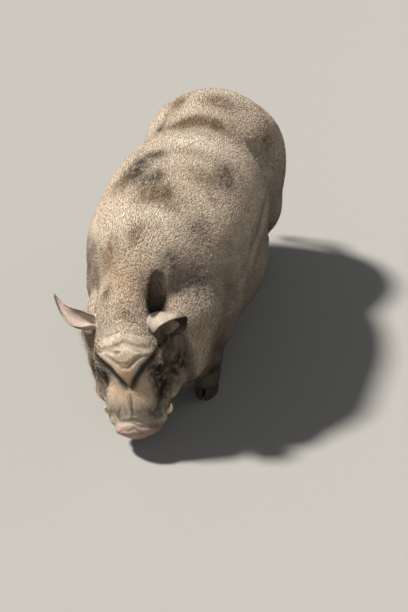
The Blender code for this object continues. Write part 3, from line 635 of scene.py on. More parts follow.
def apply_all(made):
    """Applies the modifiers of one object, in order."""
    make_active(made)
    for modifier in list(made.modifiers):
        bpy.ops.object.modifier_apply(modifier=modifier.name)


def relaxed(points, edges, amount):
    """Each point moved part of the way to the middle of its neighbours."""
    count = np.bincount(edges.ravel(), minlength=len(points))[:, None]
    total = np.zeros_like(points)
    for axis in range(3):
        for one, other in ((0, 1), (1, 0)):
            ends = points[edges[:, other], axis]
            total[:, axis] += np.bincount(edges[:, one], weights=ends, minlength=len(points))
    return points + amount * (total / np.maximum(count, 1) - points)


print("mesh helpers ready")


# %% Blocking out
def blocked_out(voxel):
    """All the lumps as primitives, joined and remeshed into one closed form."""
    blocks = []
    for lump in LUMPS:
        before = set(bpy.data.objects)
        lump.block()
        blocks += [made for made in bpy.data.objects if made not in before]
    make_active(*blocks)
    bpy.ops.object.join()
    made = bpy.context.object
    bpy.ops.object.transform_apply(location=True, rotation=True, scale=True)
    remesh = made.modifiers.new("remesh", "REMESH")
    remesh.mode = "VOXEL"
    remesh.voxel_size = voxel
    apply_all(made)
    made.name = "skin"
    return made


skin = blocked_out(0.008)
print("blocked out", len(skin.data.vertices), "points")


# %% Settling onto the clay
def settle(made, rounds, smoothing=3):
    """Evens out a mesh and pulls it onto the skin's surface, a few times over."""
    mesh = made.data
    edges, points = edges_of(mesh), read(mesh.vertices, "co")
    for _ in range(rounds):
        for _ in range(smoothing):
            points = relaxed(points, edges, 0.5)
        points = points + pull_of(points, skin_distance)
    points = points + pull_of(points, skin_distance)
    write_points(mesh, points)
    mesh.update()


def split_faces(made, inside):
    """Splits the faces of a region in four."""
    mesh = made.data
    middles = read(mesh.polygons, "center")
    for items in (mesh.vertices, mesh.edges):
        items.foreach_set("select", np.zeros(len(items), bool))
    mesh.polygons.foreach_set("select", inside(middles))
    bpy.context.tool_settings.mesh_select_mode = (False, False, True)
    make_active(made)
    bpy.ops.object.mode_set(mode="EDIT")
    bpy.ops.mesh.subdivide(number_cuts=1)
    bpy.ops.mesh.select_all(action="DESELECT")
    bpy.ops.mesh.select_face_by_sides(number=4, type="GREATER")
    bpy.ops.mesh.quads_convert_to_tris()
    bpy.ops.object.mode_set(mode="OBJECT")
    print("split to", len(mesh.polygons), "faces")


def in_head(points):
    own = in_head_frame(points)
    ahead = (own[:, 1] < 0.06) & (points[:, 1] < -0.27)
    return ahead & (np.abs(own[:, 0]) < 0.15) & (own[:, 2] > -0.13)


def in_face(points):
    own = in_head_frame(points)
    wide = (np.abs(own[:, 0]) < 0.105) & (own[:, 2] > -0.075)
    return in_head(points) & (own[:, 1] < -0.020) & wide


def at_eye(points):
    near = np.zeros(len(points), bool)
    for _, side in SIDES:
        centre = np.array(eye_frame(side) @ Vector((0, 0, 0.014)))
        near |= np.linalg.norm(points - centre, axis=1) < 0.021
    return near


settle(skin, 4)
split_faces(skin, in_head)
settle(skin, 2)
split_faces(skin, in_face)
settle(skin, 2, 2)
split_faces(skin, at_eye)
settle(skin, 2, 1)
print("skin", len(skin.data.polygons), "faces")

# %% [markdown]
# The ears
#
# A pig's ear is a leaf of gristle: nearly a tube at its root, opening into a cup, thick along its ridge
# and thin and a little ragged at its margin. Solidify on a curved sheet would give it an even thickness.
# Here rows of points are laid for the back and for the hollow side, so that each place has its own
# thickness, and the closed leaf is then joined to the skin. The sharp seam at its foot is relaxed
# into a soft fillet, because on the real animal the skin runs up into the ear without a break.

# %% Ear shapes
EAR_ROWS, EAR_COLUMNS = 34, 27
ON_EAR, BY_EAR, EAR_SEARCH = 0.0025, 0.004, 0.012
EAR_TABLE = np.array((
    (0.00, 0.042, 150, 0.0055),
    (0.14, 0.048, 138, 0.0050),
    (0.28, 0.053, 122, 0.0045),
    (0.43, 0.053, 106, 0.0042),
    (0.58, 0.047, 92, 0.0040),
    (0.72, 0.038, 80, 0.0036),
    (0.85, 0.026, 70, 0.0032),
    (0.95, 0.014, 62, 0.0028),
    (1.00, 0.006, 56, 0.0024),
))


def new_object(name, mesh):
    made = bpy.data.objects.new(name, mesh)
    bpy.context.scene.collection.objects.link(made)
    return made


def loft(name, rings):
    """A closed piece through rings that have the same number of points."""
    size = len(rings[0])
    faces = [
        (k * size + i, k * size + (i + 1) % size, (k + 1) * size + (i + 1) % size, (k + 1) * size + i)
        for k in range(len(rings) - 1)
        for i in range(size)
    ]
    faces += [tuple(range(size)), tuple(range((len(rings) - 1) * size, len(rings) * size))]
    mesh = bpy.data.meshes.new(name)
    mesh.from_pydata([tuple(place) for ring in rings for place in ring], [], faces)
    made = new_object(name, mesh)
    on_all_faces(made, bpy.ops.mesh.normals_make_consistent, inside=False)
    return made


class Ear:
    """A cupped leaf with its own shape, and the nearest-point search that marks it on the joined skin."""

    def __init__(self, name, root, tip_way, open_way, length, bend, scale, sweep, twist):
        self.axis = Vector(tip_way).normalized()
        self.face = Vector(open_way) - Vector(open_way).dot(self.axis) * self.axis
        self.face.normalize()
        self.root, self.length = Vector(root), length
        across = self.axis.cross(self.face)
        rows = np.linspace(0, 1, EAR_ROWS) ** 0.9
        spread, angle, thick = (np.interp(rows, EAR_TABLE[:, 0], EAR_TABLE[:, k]) for k in (1, 2, 3))
        for _ in range(3):
            for line in (spread, angle, thick):
                line[1:-1] = (line[:-2] + 2 * line[1:-1] + line[2:]) / 4
        rings = []
        for share, wide, turn_range, deep in zip(rows, spread, np.radians(angle), thick):
            twisted = Matrix.Rotation(math.radians(twist) * share, 3, self.axis)
            face, side = twisted @ self.face, twisted @ across
            radius = wide * scale / turn_range
            ridge = self.root + self.axis * (length * share) + self.face * (bend * share**2)
            middle = ridge + across * (sweep * share**4) + face * radius
            outer, inner = [], []
            for i in range(EAR_COLUMNS):
                t = 2 * i / (EAR_COLUMNS - 1) - 1
                ragged = 1 + 0.05 * noise.noise(Vector((share * 9, t * 0.6, length * 50))) * abs(t) ** 3
                turn = turn_range * t * ragged
                way = side * math.sin(turn) - face * math.cos(turn)
                margin = 1 - 0.45 * abs(t) ** 4
                ridges = 0.0007 * math.sin(t * 11) * (1 - share) * (1 - t * t)
                wave = 0.0016 * noise.noise(Vector((share * 5, t * 1.5, 3.7 + length * 50)))
                outer.append(middle + way * (radius + deep / 2 * margin + wave))
                inner.append(middle + way * (radius - deep / 2 * margin + wave + ridges))
            rings.append(outer + inner[::-1])
        self.made = loft(name, rings)
        mesh = self.made.data
        places = read(mesh.vertices, "co")
        self.low, self.high = places.min(0), places.max(0)
        self.tree = BVHTree.FromPolygons(places.tolist(), [face.vertices[:] for face in mesh.polygons])

    def gap(self, points, reach=0.03):
        """How far each point is from this ear, up to a reach."""
        found = np.full(len(points), reach)
        for i in np.flatnonzero(near_box(points, self.low, self.high, reach)):
            hit = self.tree.find_nearest(points[i], reach)
            if hit[0] is not None:
                found[i] = hit[3]
        return found

    def holds(self, points, reach=ON_EAR):
        """Which points lie on this ear."""
        return self.gap(points, EAR_SEARCH) < reach


EARS = [
    Ear("ear_leaf_left", HEAD @ Vector((0.060, 0.020, 0.022)),
        (0.0887, -0.0217, 0.0332), (0.127, -0.475, -0.877), 0.108, 0.012, 1.45, 0.0, -30),
    Ear("ear_leaf_right", HEAD @ Vector((-0.066, -0.009, 0.006)),
        (-0.1265, -0.0262, 0.0060), (0.12, -0.45, 0.85), 0.130, 0.004, 0.80, 0.072, 0.0),
]
print([len(ear.made.data.polygons) for ear in EARS], "faces in the ears")


# %% Joining the ears to the skin
SEAM_ROUNDS = 14


def joined(made, other):
    step = made.modifiers.new("join", "BOOLEAN")
    step.operation, step.solver, step.object = "UNION", "EXACT", other
    apply_all(made)


for ear in EARS:
    joined(skin, ear.made)
points, edges = read(skin.data.vertices, "co"), edges_of(skin.data)
ear_gap = np.minimum(EARS[0].gap(points), EARS[1].gap(points))
seam = smooth(0.010, 0.002, np.maximum(ear_gap, np.abs(skin_distance(points))))[:, None]
for _ in range(SEAM_ROUNDS):
    points = points + seam * (relaxed(points, edges, 0.5) - points)
write_points(skin.data, points)
for ear in EARS:
    ear.made.hide_render = True
    bpy.context.scene.collection.objects.unlink(ear.made)
on_all_faces(skin, bpy.ops.mesh.quads_convert_to_tris)
bpy.ops.object.shade_smooth()
print("joined skin", len(skin.data.polygons), "triangles")

# %% [markdown]
# Markings
#
# The hide is grey-brown with a tan bloom of dried dust on the back and face, and soft darker mottles.
# The markings could be painted, or built from textures alone. Here one function gives the colour at any
# place on the skin, from how far the surface faces up, a few soft patches in known places and noise,
# and both the skin and every tuft of the coat ask it, so that the two always agree. The same function paints
# shade: darker on surfaces that face down, near-black in deep folds, in the pit behind the ear, in the eye
# sockets, slits and nostrils and in the left ear's hollow, and on a few patches by the eyes, snout, jaw and
# back.


# %% Colours of the hide
def linear(code):
    """An sRGB hex colour in the linear values that a shader takes."""
    parts = [int(code[i:i + 2], 16) / 255 for i in (1, 3, 5)]
    return np.array([c / 12.92 if c <= 0.04045 else ((c + 0.055) / 1.055) ** 2.4 for c in parts])


def grain(points, size, layers=3):
    """Cloudy noise of one size, in metres, from about -1 to 1."""
    return np.array([noise.fractal(place, 1.0, 2.0, layers) for place in points / size])


# The darkest hide colour below also paints shade on surfaces that face down and under the jaw
DUST, DUST_PALE, GREY_HIDE, SHADE_HIDE = "#D6C3AB", "#E4D6C2", "#8A7A6D", "#4A3E35"
MOTTLE, MOTTLE_DARK, FACE_CREAM, ROLL_GREY = "#765E46", "#34291F", "#E3D2BA", "#7C6E66"
CHEEK_DARK, SNOUT_PINK, TAN, EAR_RIM = "#261C16", "#94796A", "#D2A981", "#3E322A"
# Next line: the near-black of painted shade in the folds, the pit, the hollows and around the eyes; the ears'
# back; and the ear hollows, the left one painted near-black shade and the right one its own pale colour
PAINTED_SHADE_BLACK, EAR_BACK, EAR_HOLLOW_SHADE_AND_TONE = "#120D09", "#A2958A", ("#140F0C", "#CDB9AB")

# How strongly painted shade darkens the folds, the pit and the hollows, the crease depth where it is full,
# the width of its edge in the pit and hollows, and where the pit's painted shade fades out
SHADE_STRENGTH, FULL_SHADE_DEPTH, SHADE_EDGE, PIT_SHADE_FADE = 0.92, 0.006, 0.006, (-0.335, -0.372)

# Each patch: a frame, its middle and reach in that frame, its colour and how strong it is
PATCHES = [
    (BODY, (0.016, 0.335, 0.560), (0.052, 0.042, 0.06), MOTTLE, 0.95),
    (BODY, (-0.045, 0.203, 0.545), (0.070, 0.042, 0.06), MOTTLE, 1.25),
    (BODY, (0.035, 0.212, 0.545), (0.060, 0.036, 0.06), MOTTLE, 1.05),
    (BODY, (-0.100, 0.345, 0.520), (0.030, 0.045, 0.06), MOTTLE, 0.80),
    (BODY, (-0.125, 0.255, 0.480), (0.035, 0.040, 0.06), MOTTLE_DARK, 0.75),
    (BODY, (-0.112, -0.050, 0.545), (0.040, 0.058, 0.06), MOTTLE_DARK, 1.30),
    (BODY, (-0.078, 0.005, 0.560), (0.040, 0.028, 0.06), MOTTLE_DARK, 1.00),
    (BODY, (-0.055, -0.110, 0.565), (0.038, 0.050, 0.06), MOTTLE_DARK, 1.00),
    (BODY, (-0.022, -0.165, 0.560), (0.050, 0.042, 0.06), MOTTLE, 1.30),
    (BODY, (0.026, -0.205, 0.555), (0.026, 0.020, 0.06), MOTTLE, 0.75),
    (BODY, (-0.130, -0.100, 0.525), (0.026, 0.045, 0.06), MOTTLE, 0.90),
    # Painted shade where the back turns down on the left side
    (BODY, (0.120, -0.012, 0.545), (0.036, 0.060, 0.07), MOTTLE_DARK, 0.85),
    (BODY, (0.064, -0.060, 0.565), (0.050, 0.036, 0.06), MOTTLE, 0.60),
    (BODY, (0.020, 0.030, 0.565), (0.060, 0.024, 0.06), MOTTLE, 0.45),
    (BODY, (-0.040, -0.280, 0.525), (0.026, 0.040, 0.05), MOTTLE, 0.75),
    (BODY, (-0.100, -0.300, 0.450), (0.032, 0.050, 0.06), MOTTLE, 0.90),
    (BODY, (-0.092, -0.372, 0.385), (0.018, 0.026, 0.05), MOTTLE_DARK, 0.75),
    (BODY, (0.150, 0.300, 0.470), (0.035, 0.060, 0.06), MOTTLE, 0.65),
    (BODY, (0.108, -0.225, 0.520), (0.040, 0.050, 0.06), GREY_HIDE, 0.75),
    (BODY, (0.055, -0.320, 0.460), (0.028, 0.030, 0.05), MOTTLE_DARK, 0.65),
    (BODY, (0.125, -0.320, 0.400), (0.055, 0.060, 0.09), ROLL_GREY, 0.85),
    (BODY, (-0.050, -0.350, 0.420), (0.070, 0.070, 0.07), TAN, 0.30),
    (BODY, (0.020, 0.090, 0.565), (0.120, 0.045, 0.06), DUST_PALE, 0.80),
    (BODY, (0.040, 0.385, 0.540), (0.060, 0.030, 0.05), DUST_PALE, 0.60),
    (BODY, (-0.020, -0.235, 0.545), (0.060, 0.030, 0.05), DUST_PALE, 0.60),
    (HEAD, (0.0, -0.025, 0.085), (0.060, 0.030, 0.05), FACE_CREAM, 0.70),
    (HEAD, (0.062, -0.040, 0.075), (0.030, 0.034, 0.04), GREY_HIDE, 0.55),
    (HEAD, (-0.066, -0.020, 0.070), (0.030, 0.034, 0.04), GREY_HIDE, 0.45),
    (HEAD, (0.0, -0.084, 0.085), (0.050, 0.022, 0.05), FACE_CREAM, 0.60),
    (HEAD, (0.0, -0.120, 0.075), (0.036, 0.044, 0.04), TAN, 0.60),
    (HEAD, (0.0, -0.175, 0.055), (0.060, 0.040, 0.05), TAN, 0.75),
    (HEAD, (0.020, -0.200, 0.050), (0.016, 0.028, 0.03), FACE_CREAM, 0.70),
    (HEAD, (-0.020, -0.200, 0.050), (0.016, 0.028, 0.03), FACE_CREAM, 0.70),
    (HEAD, (0.0, -0.215, 0.055), (0.008, 0.030, 0.03), CHEEK_DARK, 0.45),
    (HEAD, (0.105, -0.110, -0.005), (0.042, 0.055, 0.05), CHEEK_DARK, 1.00),
    (HEAD, (-0.098, -0.110, -0.005), (0.036, 0.055, 0.05), CHEEK_DARK, 0.85),
    # Dark around both eyes: painted shade of the deep-set sockets under the brow, over darker hair
    (HEAD, (0.066, -0.118, 0.040), (0.024, 0.030, 0.03), CHEEK_DARK, 0.95),
    (HEAD, (-0.066, -0.118, 0.040), (0.024, 0.030, 0.03), CHEEK_DARK, 0.95),
    (HEAD, (0.074, -0.172, 0.012), (0.020, 0.044, 0.04), CHEEK_DARK, 1.05),
    (HEAD, (0.064, -0.215, 0.026), (0.014, 0.050, 0.03), CHEEK_DARK, 0.75),
    (HEAD, (0.000, -0.222, 0.045), (0.060, 0.024, 0.04), GREY_HIDE, 0.60),
    # Painted shade on the left side of the snout
    (HEAD, (0.052, -0.272, 0.005), (0.018, 0.020, 0.04), CHEEK_DARK, 0.60),
    (HEAD, (-0.074, -0.172, 0.012), (0.018, 0.044, 0.04), CHEEK_DARK, 0.80),
    (HEAD, (0.050, -0.236, 0.010), (0.018, 0.018, 0.04), CHEEK_DARK, 0.60),
    (HEAD, (-0.050, -0.236, 0.010), (0.018, 0.018, 0.04), CHEEK_DARK, 0.45),
    (HEAD, (0.095, -0.045, 0.015), (0.026, 0.030, 0.04), CHEEK_DARK, 0.80),
    # Painted shade under the jaw
    (HEAD, (0.0, -0.060, -0.110), (0.100, 0.140, 0.06), SHADE_HIDE, 0.70),
    # Near-black around both eyes: painted shade of the deep-set sockets under the brow, over darker hair
    (HEAD, EYE, (0.030, 0.034, 0.032), PAINTED_SHADE_BLACK, 1.00),
    (HEAD, flip(EYE, -1), (0.028, 0.032, 0.030), PAINTED_SHADE_BLACK, 0.90),
    (HEAD, (0.045, -0.225, 0.038), (0.010, 0.012, 0.02), CHEEK_DARK, 0.60),
    (HEAD, (-0.062, -0.229, 0.003), (0.012, 0.012, 0.02), CHEEK_DARK, 0.70),
]


def ear_shares(ear, points, normals):
    """How far each point lies on an ear, in its hollow and on its rim, from 0 to 1."""
    on_ear = ear.holds(points)
    away = (points - np.array(ear.root)) @ np.array(ear.axis) / ear.length
    facing = normals @ np.array(ear.face)
    hollow = on_ear * (away > 0.08) * smooth(-0.1, 0.3, facing)
    margin = 0.5 * (1 - smooth(0.0, 0.5, np.abs(facing))) * smooth(0.2, 0.5, away)
    return 1.0 * on_ear, hollow, on_ear * np.maximum(margin, 0.8 * smooth(0.80, 1.0, away))


def hide_colour(points, normals):
    """The colour of the hide at each point, in linear values, with painted shade in its folds and hollows and
    on its undersides.
    """
    own = in_head_frame(points)
    cloud, fine = grain(points, 0.055), grain(points, 0.011, 2)
    colour = np.tile(linear(GREY_HIDE), (len(points), 1))

    def lay(code, share):
        nonlocal colour
        colour = colour + (linear(code) - colour) * np.clip(share, 0, 1)[:, None]

    # Darker towards the ground, partly darker hide and partly painted shade, and painted shade on surfaces
    # that face down
    low = smooth(0.24, 0.10, points[:, 2] + 0.03 * cloud)
    lay(SHADE_HIDE, 0.75 * low + 0.5 * smooth(0.0, -0.7, normals[:, 2]))
    dust = smooth(-0.15, 0.65, normals[:, 2] + 0.16 * cloud) * (1 - 0.8 * low)
    lay(DUST, 0.92 * dust)
    lay(FACE_CREAM, 0.65 * faceward(points) * smooth(0.1, 0.6, normals @ HEAD_TURN[:, 2]))
    lay(MOTTLE, 0.40 * dust * smooth(0.25, 0.75, grain(points + 3.1, 0.040)))
    for frame_of, middle, reach, code, strength in PATCHES:
        place = np.array(frame_of @ Vector(middle))
        local = (points - place) @ np.array(frame_of.to_3x3()) / np.array(reach)
        far = (local * local).sum(1)
        lay(code, strength * np.exp(-far * 1.2) * (1 + 0.9 * fine + 0.5 * cloud))
    disc = smooth(-0.252, -0.268, own[:, 1]) * faceward(points)
    lay(SNOUT_PINK, 0.8 * disc)
    # The left ear's hollow is painted near-black shade; the right ear's hollow keeps its own pale colour
    for ear, inner in zip(EARS, EAR_HOLLOW_SHADE_AND_TONE):
        whole, hollow, rim = ear_shares(ear, points, normals)
        lay(EAR_BACK, 0.6 * whole)
        lay(inner, 0.9 * hollow)
        lay(EAR_RIM, rim)
    # Painted shade: near-black in the deep, narrow folds and wrinkles, darkest where each is pressed deepest
    fold_shade = np.zeros(len(points))
    for crease in CREASES:
        near = near_box(points, crease.low, crease.high, 0)
        steep = min(1.0, max(0.0, 0.8 * crease.depths.max() / crease.width - 0.45))
        if near.any() and steep > 0:
            deep = np.clip(crease.press(points[near]) / FULL_SHADE_DEPTH, 0, 1)
            fold_shade[near] = np.maximum(fold_shade[near], steep * deep)
    lay(PAINTED_SHADE_BLACK, SHADE_STRENGTH * fold_shade)
    # Painted shade inside the pit behind the ear and inside the eye sockets, eye slits and nostrils, fading
    # out at the pit's upper, rear end
    for ball, reach in [(PIT, 0.008), *((ball, 0.004) for ball in HOLLOWS)]:
        near = near_box(points, ball.low, ball.high, reach)
        inside = np.zeros(len(points))
        inside[near] = smooth(reach, reach - SHADE_EDGE, ball.distance(points[near]))
        lay(PAINTED_SHADE_BLACK, SHADE_STRENGTH * inside * smooth(*PIT_SHADE_FADE, points[:, 1]))
    return colour * (1 + 0.10 * fine + 0.06 * cloud)[:, None]


normals = read(skin.data.vertices, "normal")
points = read(skin.data.vertices, "co")
skin_colour = hide_colour(points, normals)
print("hide from", skin_colour.min(0).round(3), "to", skin_colour.max(0).round(3))


# %% Storing colours on a mesh
def store_colour(mesh, name, colour):
    layer = mesh.attributes.new(name, "FLOAT_COLOR", "POINT")
    layer.data.foreach_set("color", np.c_[colour, np.ones(len(colour))].astype(np.float32).ravel())


def store_share(mesh, name, share):
    mesh.attributes.new(name, "FLOAT", "POINT").data.foreach_set("value", share.astype(np.float32))


ahead, on_face = in_head_frame(points)[:, 1], faceward(points)
thin_skinned = np.max([ear.holds(points) for ear in EARS], axis=0)
store_colour(skin.data, "hide_colour", skin_colour)
store_share(skin.data, "moist", smooth(-0.256, -0.270, ahead) * on_face)
crackle = 1 - 0.60 * on_face - 0.32 * smooth(-0.240, -0.262, ahead) * on_face
store_share(skin.data, "crackle", np.where(thin_skinned, 0.15, crackle))
print("stored", [layer.name for layer in skin.data.attributes if not layer.is_internal][:8])

# %% Handing the skin over
SKINNED = ["torso", "neck", "head", "snout", "foreleg_left", "foreleg_right", "hindleg_left", "hindleg_right"]


def hand_over(made, slot, *nodes):
    """Lets a piece ride on the body and stand for its solids, which it hides; its slot is not used."""
    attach(made, BODY_NAME)
    if nodes:
        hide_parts(*nodes)


hand_over(skin, "hide", *SKINNED, "ear_left", "ear_right")
print("the skin stands for", len(SKINNED) + 2, "solids")

# %% [markdown]
# Eyes, tusks, claws and tail
#
# These are hard or stiff parts with a shape of their own, so each is made by itself in the place where
# its solid stands. Spheres and cones could be bent into tusks and claws, but a real tusk tapers along
# a curve and a claw has a sole with a drawn outline. Rings of points along a smooth curve give both.
# Each part carries a value along its length, which its material uses for growth lines and stains.


# %% Curves and tubes
def curve_through(places, count):
    """Points spread along a smooth curve that passes through the places."""
    line = np.array([tuple(np.atleast_1d(place)) for place in places], float)
    line = np.vstack([2 * line[0] - line[1], line, 2 * line[-1] - line[-2]])
    found = []
    for step in np.linspace(0, len(line) - 3, count):
        k = min(int(step), len(line) - 4)
        a, b, c, d = line[k:k + 4]
        t = step - k
        found.append(b + 0.5 * t * (c - a + t * (2 * a - 5 * b + 4 * c - d + t * (3 * (b - c) + d - a))))
    return np.array(found)


def tube(name, line, wide, deep, up, sides=24):
    """A closed tapering piece along a line, with its half widths across and deep."""
    along = np.gradient(line, axis=0)
    along /= np.linalg.norm(along, axis=1)[:, None]
    turn = np.linspace(0, 2 * math.pi, sides, endpoint=False)
    rings = []
    for place, way, a, b in zip(line, along, wide, deep):
        across = np.cross(up, way)
        across /= np.linalg.norm(across)
        over = np.cross(way, across)
        rings.append(place + np.outer(np.cos(turn) * a, across) + np.outer(np.sin(turn) * b, over))
    made = loft(name, rings)
    store_share(made.data, "along", np.repeat(np.linspace(0, 1, len(rings)), sides))
    make_active(made)
    bpy.ops.object.shade_smooth()
    return made


def rounded_end(widths, share=0.08):
    """Lets the widths shrink to a round end over the last share of the length."""
    left = 1 - np.linspace(0, 1, len(widths))
    return widths * np.sqrt(np.clip(1 - (1 - np.clip(left / share, 0, 1)) ** 2, 0.004, 1))


def join_all(name, pieces):
    make_active(*pieces)
    bpy.ops.object.join()
    made = bpy.context.object
    made.name = made.data.name = name
    return made


print("curves and tubes")

SIDEWAYS = np.array((1.0, 0.0, 0.0))

# %% Eyes
CORNEA_RISE, CORNEA_REACH = 0.0009, 0.75


def eyeball(word, side):
    """A ball with a bulging cornea that looks along the eye's frame."""
    bpy.ops.object.select_all(action="DESELECT")
    bpy.ops.mesh.primitive_uv_sphere_add(segments=64, ring_count=48, radius=EYE_RADIUS - 0.0004)
    made = bpy.context.object
    made.name = made.data.name = f"eye_ball_{word}"
    mesh = made.data
    points = read(mesh.vertices, "co")
    turn = np.arccos(np.clip(points[:, 2] / EYE_RADIUS, -1, 1))
    bulge = CORNEA_RISE * smooth(CORNEA_REACH, 0.2, turn)
    write_points(mesh, points * (1 + bulge / EYE_RADIUS)[:, None])
    store_share(mesh, "gaze", turn)
    made.matrix_world = eye_frame(side)
    bpy.ops.object.transform_apply(location=True, rotation=True, scale=True)
    bpy.ops.object.shade_smooth()
    hand_over(made, "eye", f"eye_{word}")
    return made


eyes = [eyeball(word, side) for word, side in SIDES]
print(len(eyes), "eyes")

# %% Tusks
TUSK_LINE = [(0.040, -0.228, -0.030), (0.062, -0.236, -0.022), (0.080, -0.234, -0.004),
             (0.090, -0.224, 0.011), (0.094, -0.210, 0.022)]
TUSK_RADII = [0.008, 0.008, 0.0075, 0.0058, 0.0016]
TUSK_WEAR = {"left": 1.0, "right": 0.75}


def tusk(word, side):
    """A curved lower tusk, which grows out of the lip and is worn shorter on the right."""
    root, wear = Vector(TUSK_LINE[0]), TUSK_WEAR[word]
    places = [HEAD @ Vector(flip(root.lerp(Vector(place), wear), side)) for place in TUSK_LINE]
    line = curve_through(places, 40)
    radii = rounded_end(curve_through(TUSK_RADII, 40)[:, 0], 0.05)
    radii = radii * (1 + 0.012 * np.sin(np.arange(40) * 1.9))
    made = tube(f"tusk_{word}_ivory", line, radii, radii * 0.92, HEAD_TURN[:, 1], 28)
    hand_over(made, "tusk_ivory", f"tusk_{word}")
    return made


tusks = [tusk(word, side) for word, side in SIDES]
print(len(tusks), "tusks")

# %% Claws
CLEFT, GAP = 0.0016, 0.0003
SOLE = [(CLEFT, -0.029), (CLEFT, 0.004), (0.0035, 0.036), (0.010, 0.0385), (0.019, 0.030), (0.027, 0.012),
        (0.0295, -0.008), (0.026, -0.024), (0.014, -0.031)]
CLAW_RINGS = [(0, 0.975, 0.0), (0.0012, 1.0, 0.0), (0.012, 0.985, 0.002), (0.022, 0.93, 0.0045),
              (CLAW_TOP - GAP, 0.85, 0.007)]


def claw(x, y, half_side):
    """One main claw: a drawn sole with growth rings above it, leaning back as it rises."""
    outline = [tuple(place) for place in curve_through([*SOLE, SOLE[0]], 57)[:-1]]
    rings = []
    for height, size, back in curve_through(CLAW_RINGS, 26):
        grown = size * (1 + 0.006 * math.sin(height * 1700) * smooth(0, 0.004, height))
        rings.append([
            (x + half_side * (CLEFT + max(across - CLEFT, 0) * grown), y - (ahead * grown - back), height)
            for across, ahead in outline
        ])
    made = loft("claw", rings)
    store_share(made.data, "along", np.repeat(np.linspace(0, 1, 26), len(outline)))
    return made


def dewclaw(x, back, half_side):
    """One of the small claws that hang behind the foot."""
    places = [(x + half_side * out, back + behind, height) for out, behind, height in (
        (0.011, -0.002, 0.066), (0.015, 0.012, 0.058), (0.019, 0.024, 0.048), (0.020, 0.031, 0.038))]
    line = curve_through([BODY @ Vector(place) for place in places], 24)
    wide, deep = (rounded_end(curve_through(widths, 24)[:, 0], 0.12) for widths in (
        (0.009, 0.0095, 0.008, 0.004), (0.008, 0.0085, 0.007, 0.0035)))
    return tube("dewclaw", line, wide, deep, SIDEWAYS, 20)


claws = []
for pair, x, y, ahead, behind in (
    ("fore", FORE_X, FORE_Y, 0.022, 0.010), ("hind", HIND_X, HIND_Y, 0.012, 0.022)
):
    for word, side in SIDES:
        places = (("outer", side), ("inner", -side))
        main = [claw(offset.x + x * side, offset.y + y - ahead, way) for _, way in places]
        small = [dewclaw(x * side, y + behind, way) for _, way in places]
        foot = join_all(f"claws_{pair}_{word}", main + small)
        make_active(foot)
        bpy.ops.object.shade_smooth_by_angle(angle=math.radians(40))
        names = [f"{kind}_{pair}_{word}_{half}" for kind in ("claw", "dewclaw") for half, _ in places]
        hand_over(foot, "claw_horn", *names)
        claws.append(foot)
print(len(claws), "feet of claws,", sum(len(c.data.polygons) for c in claws), "faces")

# %% Tail
TAIL_LINE = [(0, 0.470, 0.455), (0, 0.505, 0.450), (0.003, 0.528, 0.425), (0.007, 0.536, 0.385),
             (0.011, 0.536, 0.345), (0.012, 0.533, 0.305), (0.011, 0.530, 0.270)]
TAIL_RADII = [0.018, 0.017, 0.014, 0.012, 0.010, 0.0085, 0.005]
TAIL_RINGS = 90
tail_line = curve_through([BODY @ Vector(place) for place in TAIL_LINE], TAIL_RINGS)
tail_radii = rounded_end(curve_through(TAIL_RADII, TAIL_RINGS)[:, 0], 0.05) - 0.0008
tail_radii = tail_radii * (1 + 0.03 * np.sin(np.arange(TAIL_RINGS) * 1.3))
tail = tube("tail_skin", tail_line, tail_radii, tail_radii, SIDEWAYS, 28)
tail_points = read(tail.data.vertices, "co")
tail_dark = smooth(0.46, 0.32, tail_points[:, 2])[:, None]
tail_colours = 0.55 * hide_colour(tail_points, read(tail.data.vertices, "normal"))
tail_colours = tail_colours + (0.6 * linear(SHADE_HIDE) - tail_colours) * tail_dark
store_colour(tail.data, "hide_colour", tail_colours)
store_share(tail.data, "moist", np.zeros(len(tail.data.vertices)))
print("tail", len(tail.data.polygons), "faces")

# %% [markdown]
# Materials
#
# Every surface here is made of skin, horn or ivory, or is a wet eye. Photographs could be wrapped over them,
# but then the pattern stops at the photograph's edge. Nodes make them instead: the hide's colour comes
# from the values stored above, and wrinkles, pores and the lie of the hair are bumps of known size.


# %% Material helpers
def new_material(name):
    made = bpy.data.materials.new(name)
    made.use_nodes = True
    return made, made.node_tree, made.node_tree.nodes["Principled BSDF"]


def add_node(tree, kind, inputs, **settings):
    """Adds one node; each input takes either a value or another node's output."""
    made = tree.nodes.new(kind)
    for name, value in settings.items():
        setattr(made, name, value)
    for name, value in inputs.items():
        if isinstance(value, bpy.types.NodeSocket):
            tree.links.new(value, made.inputs[name])
        else:
            made.inputs[name].default_value = value
    return made


def attribute(tree, name, output):
    return add_node(tree, "ShaderNodeAttribute", {}, attribute_name=name).outputs[output]


def stretched(tree, stretch):
    """Object coordinates squeezed so that one unit of the pattern is so many millimetres each way."""
    place = add_node(tree, "ShaderNodeTexCoord", {}).outputs["Object"]
    scale = [1000 / mm for mm in stretch]
    return add_node(tree, "ShaderNodeMapping", {"Vector": place, "Scale": scale}).outputs["Vector"]


def cloudy(tree, stretch, detail=3.0):
    """Noise whose spots are so many millimetres across."""
    inputs = {"Vector": stretched(tree, stretch), "Scale": 1.0, "Detail": detail}
    return add_node(tree, "ShaderNodeTexNoise", inputs).outputs["Fac"]


def ranged(tree, value, low, high, to_low, to_high):
    """Turns the values between low and high into those between two others."""
    inputs = {"Value": value, "From Min": low, "From Max": high, "To Min": to_low, "To Max": to_high}
    return add_node(tree, "ShaderNodeMapRange", inputs).outputs["Result"]


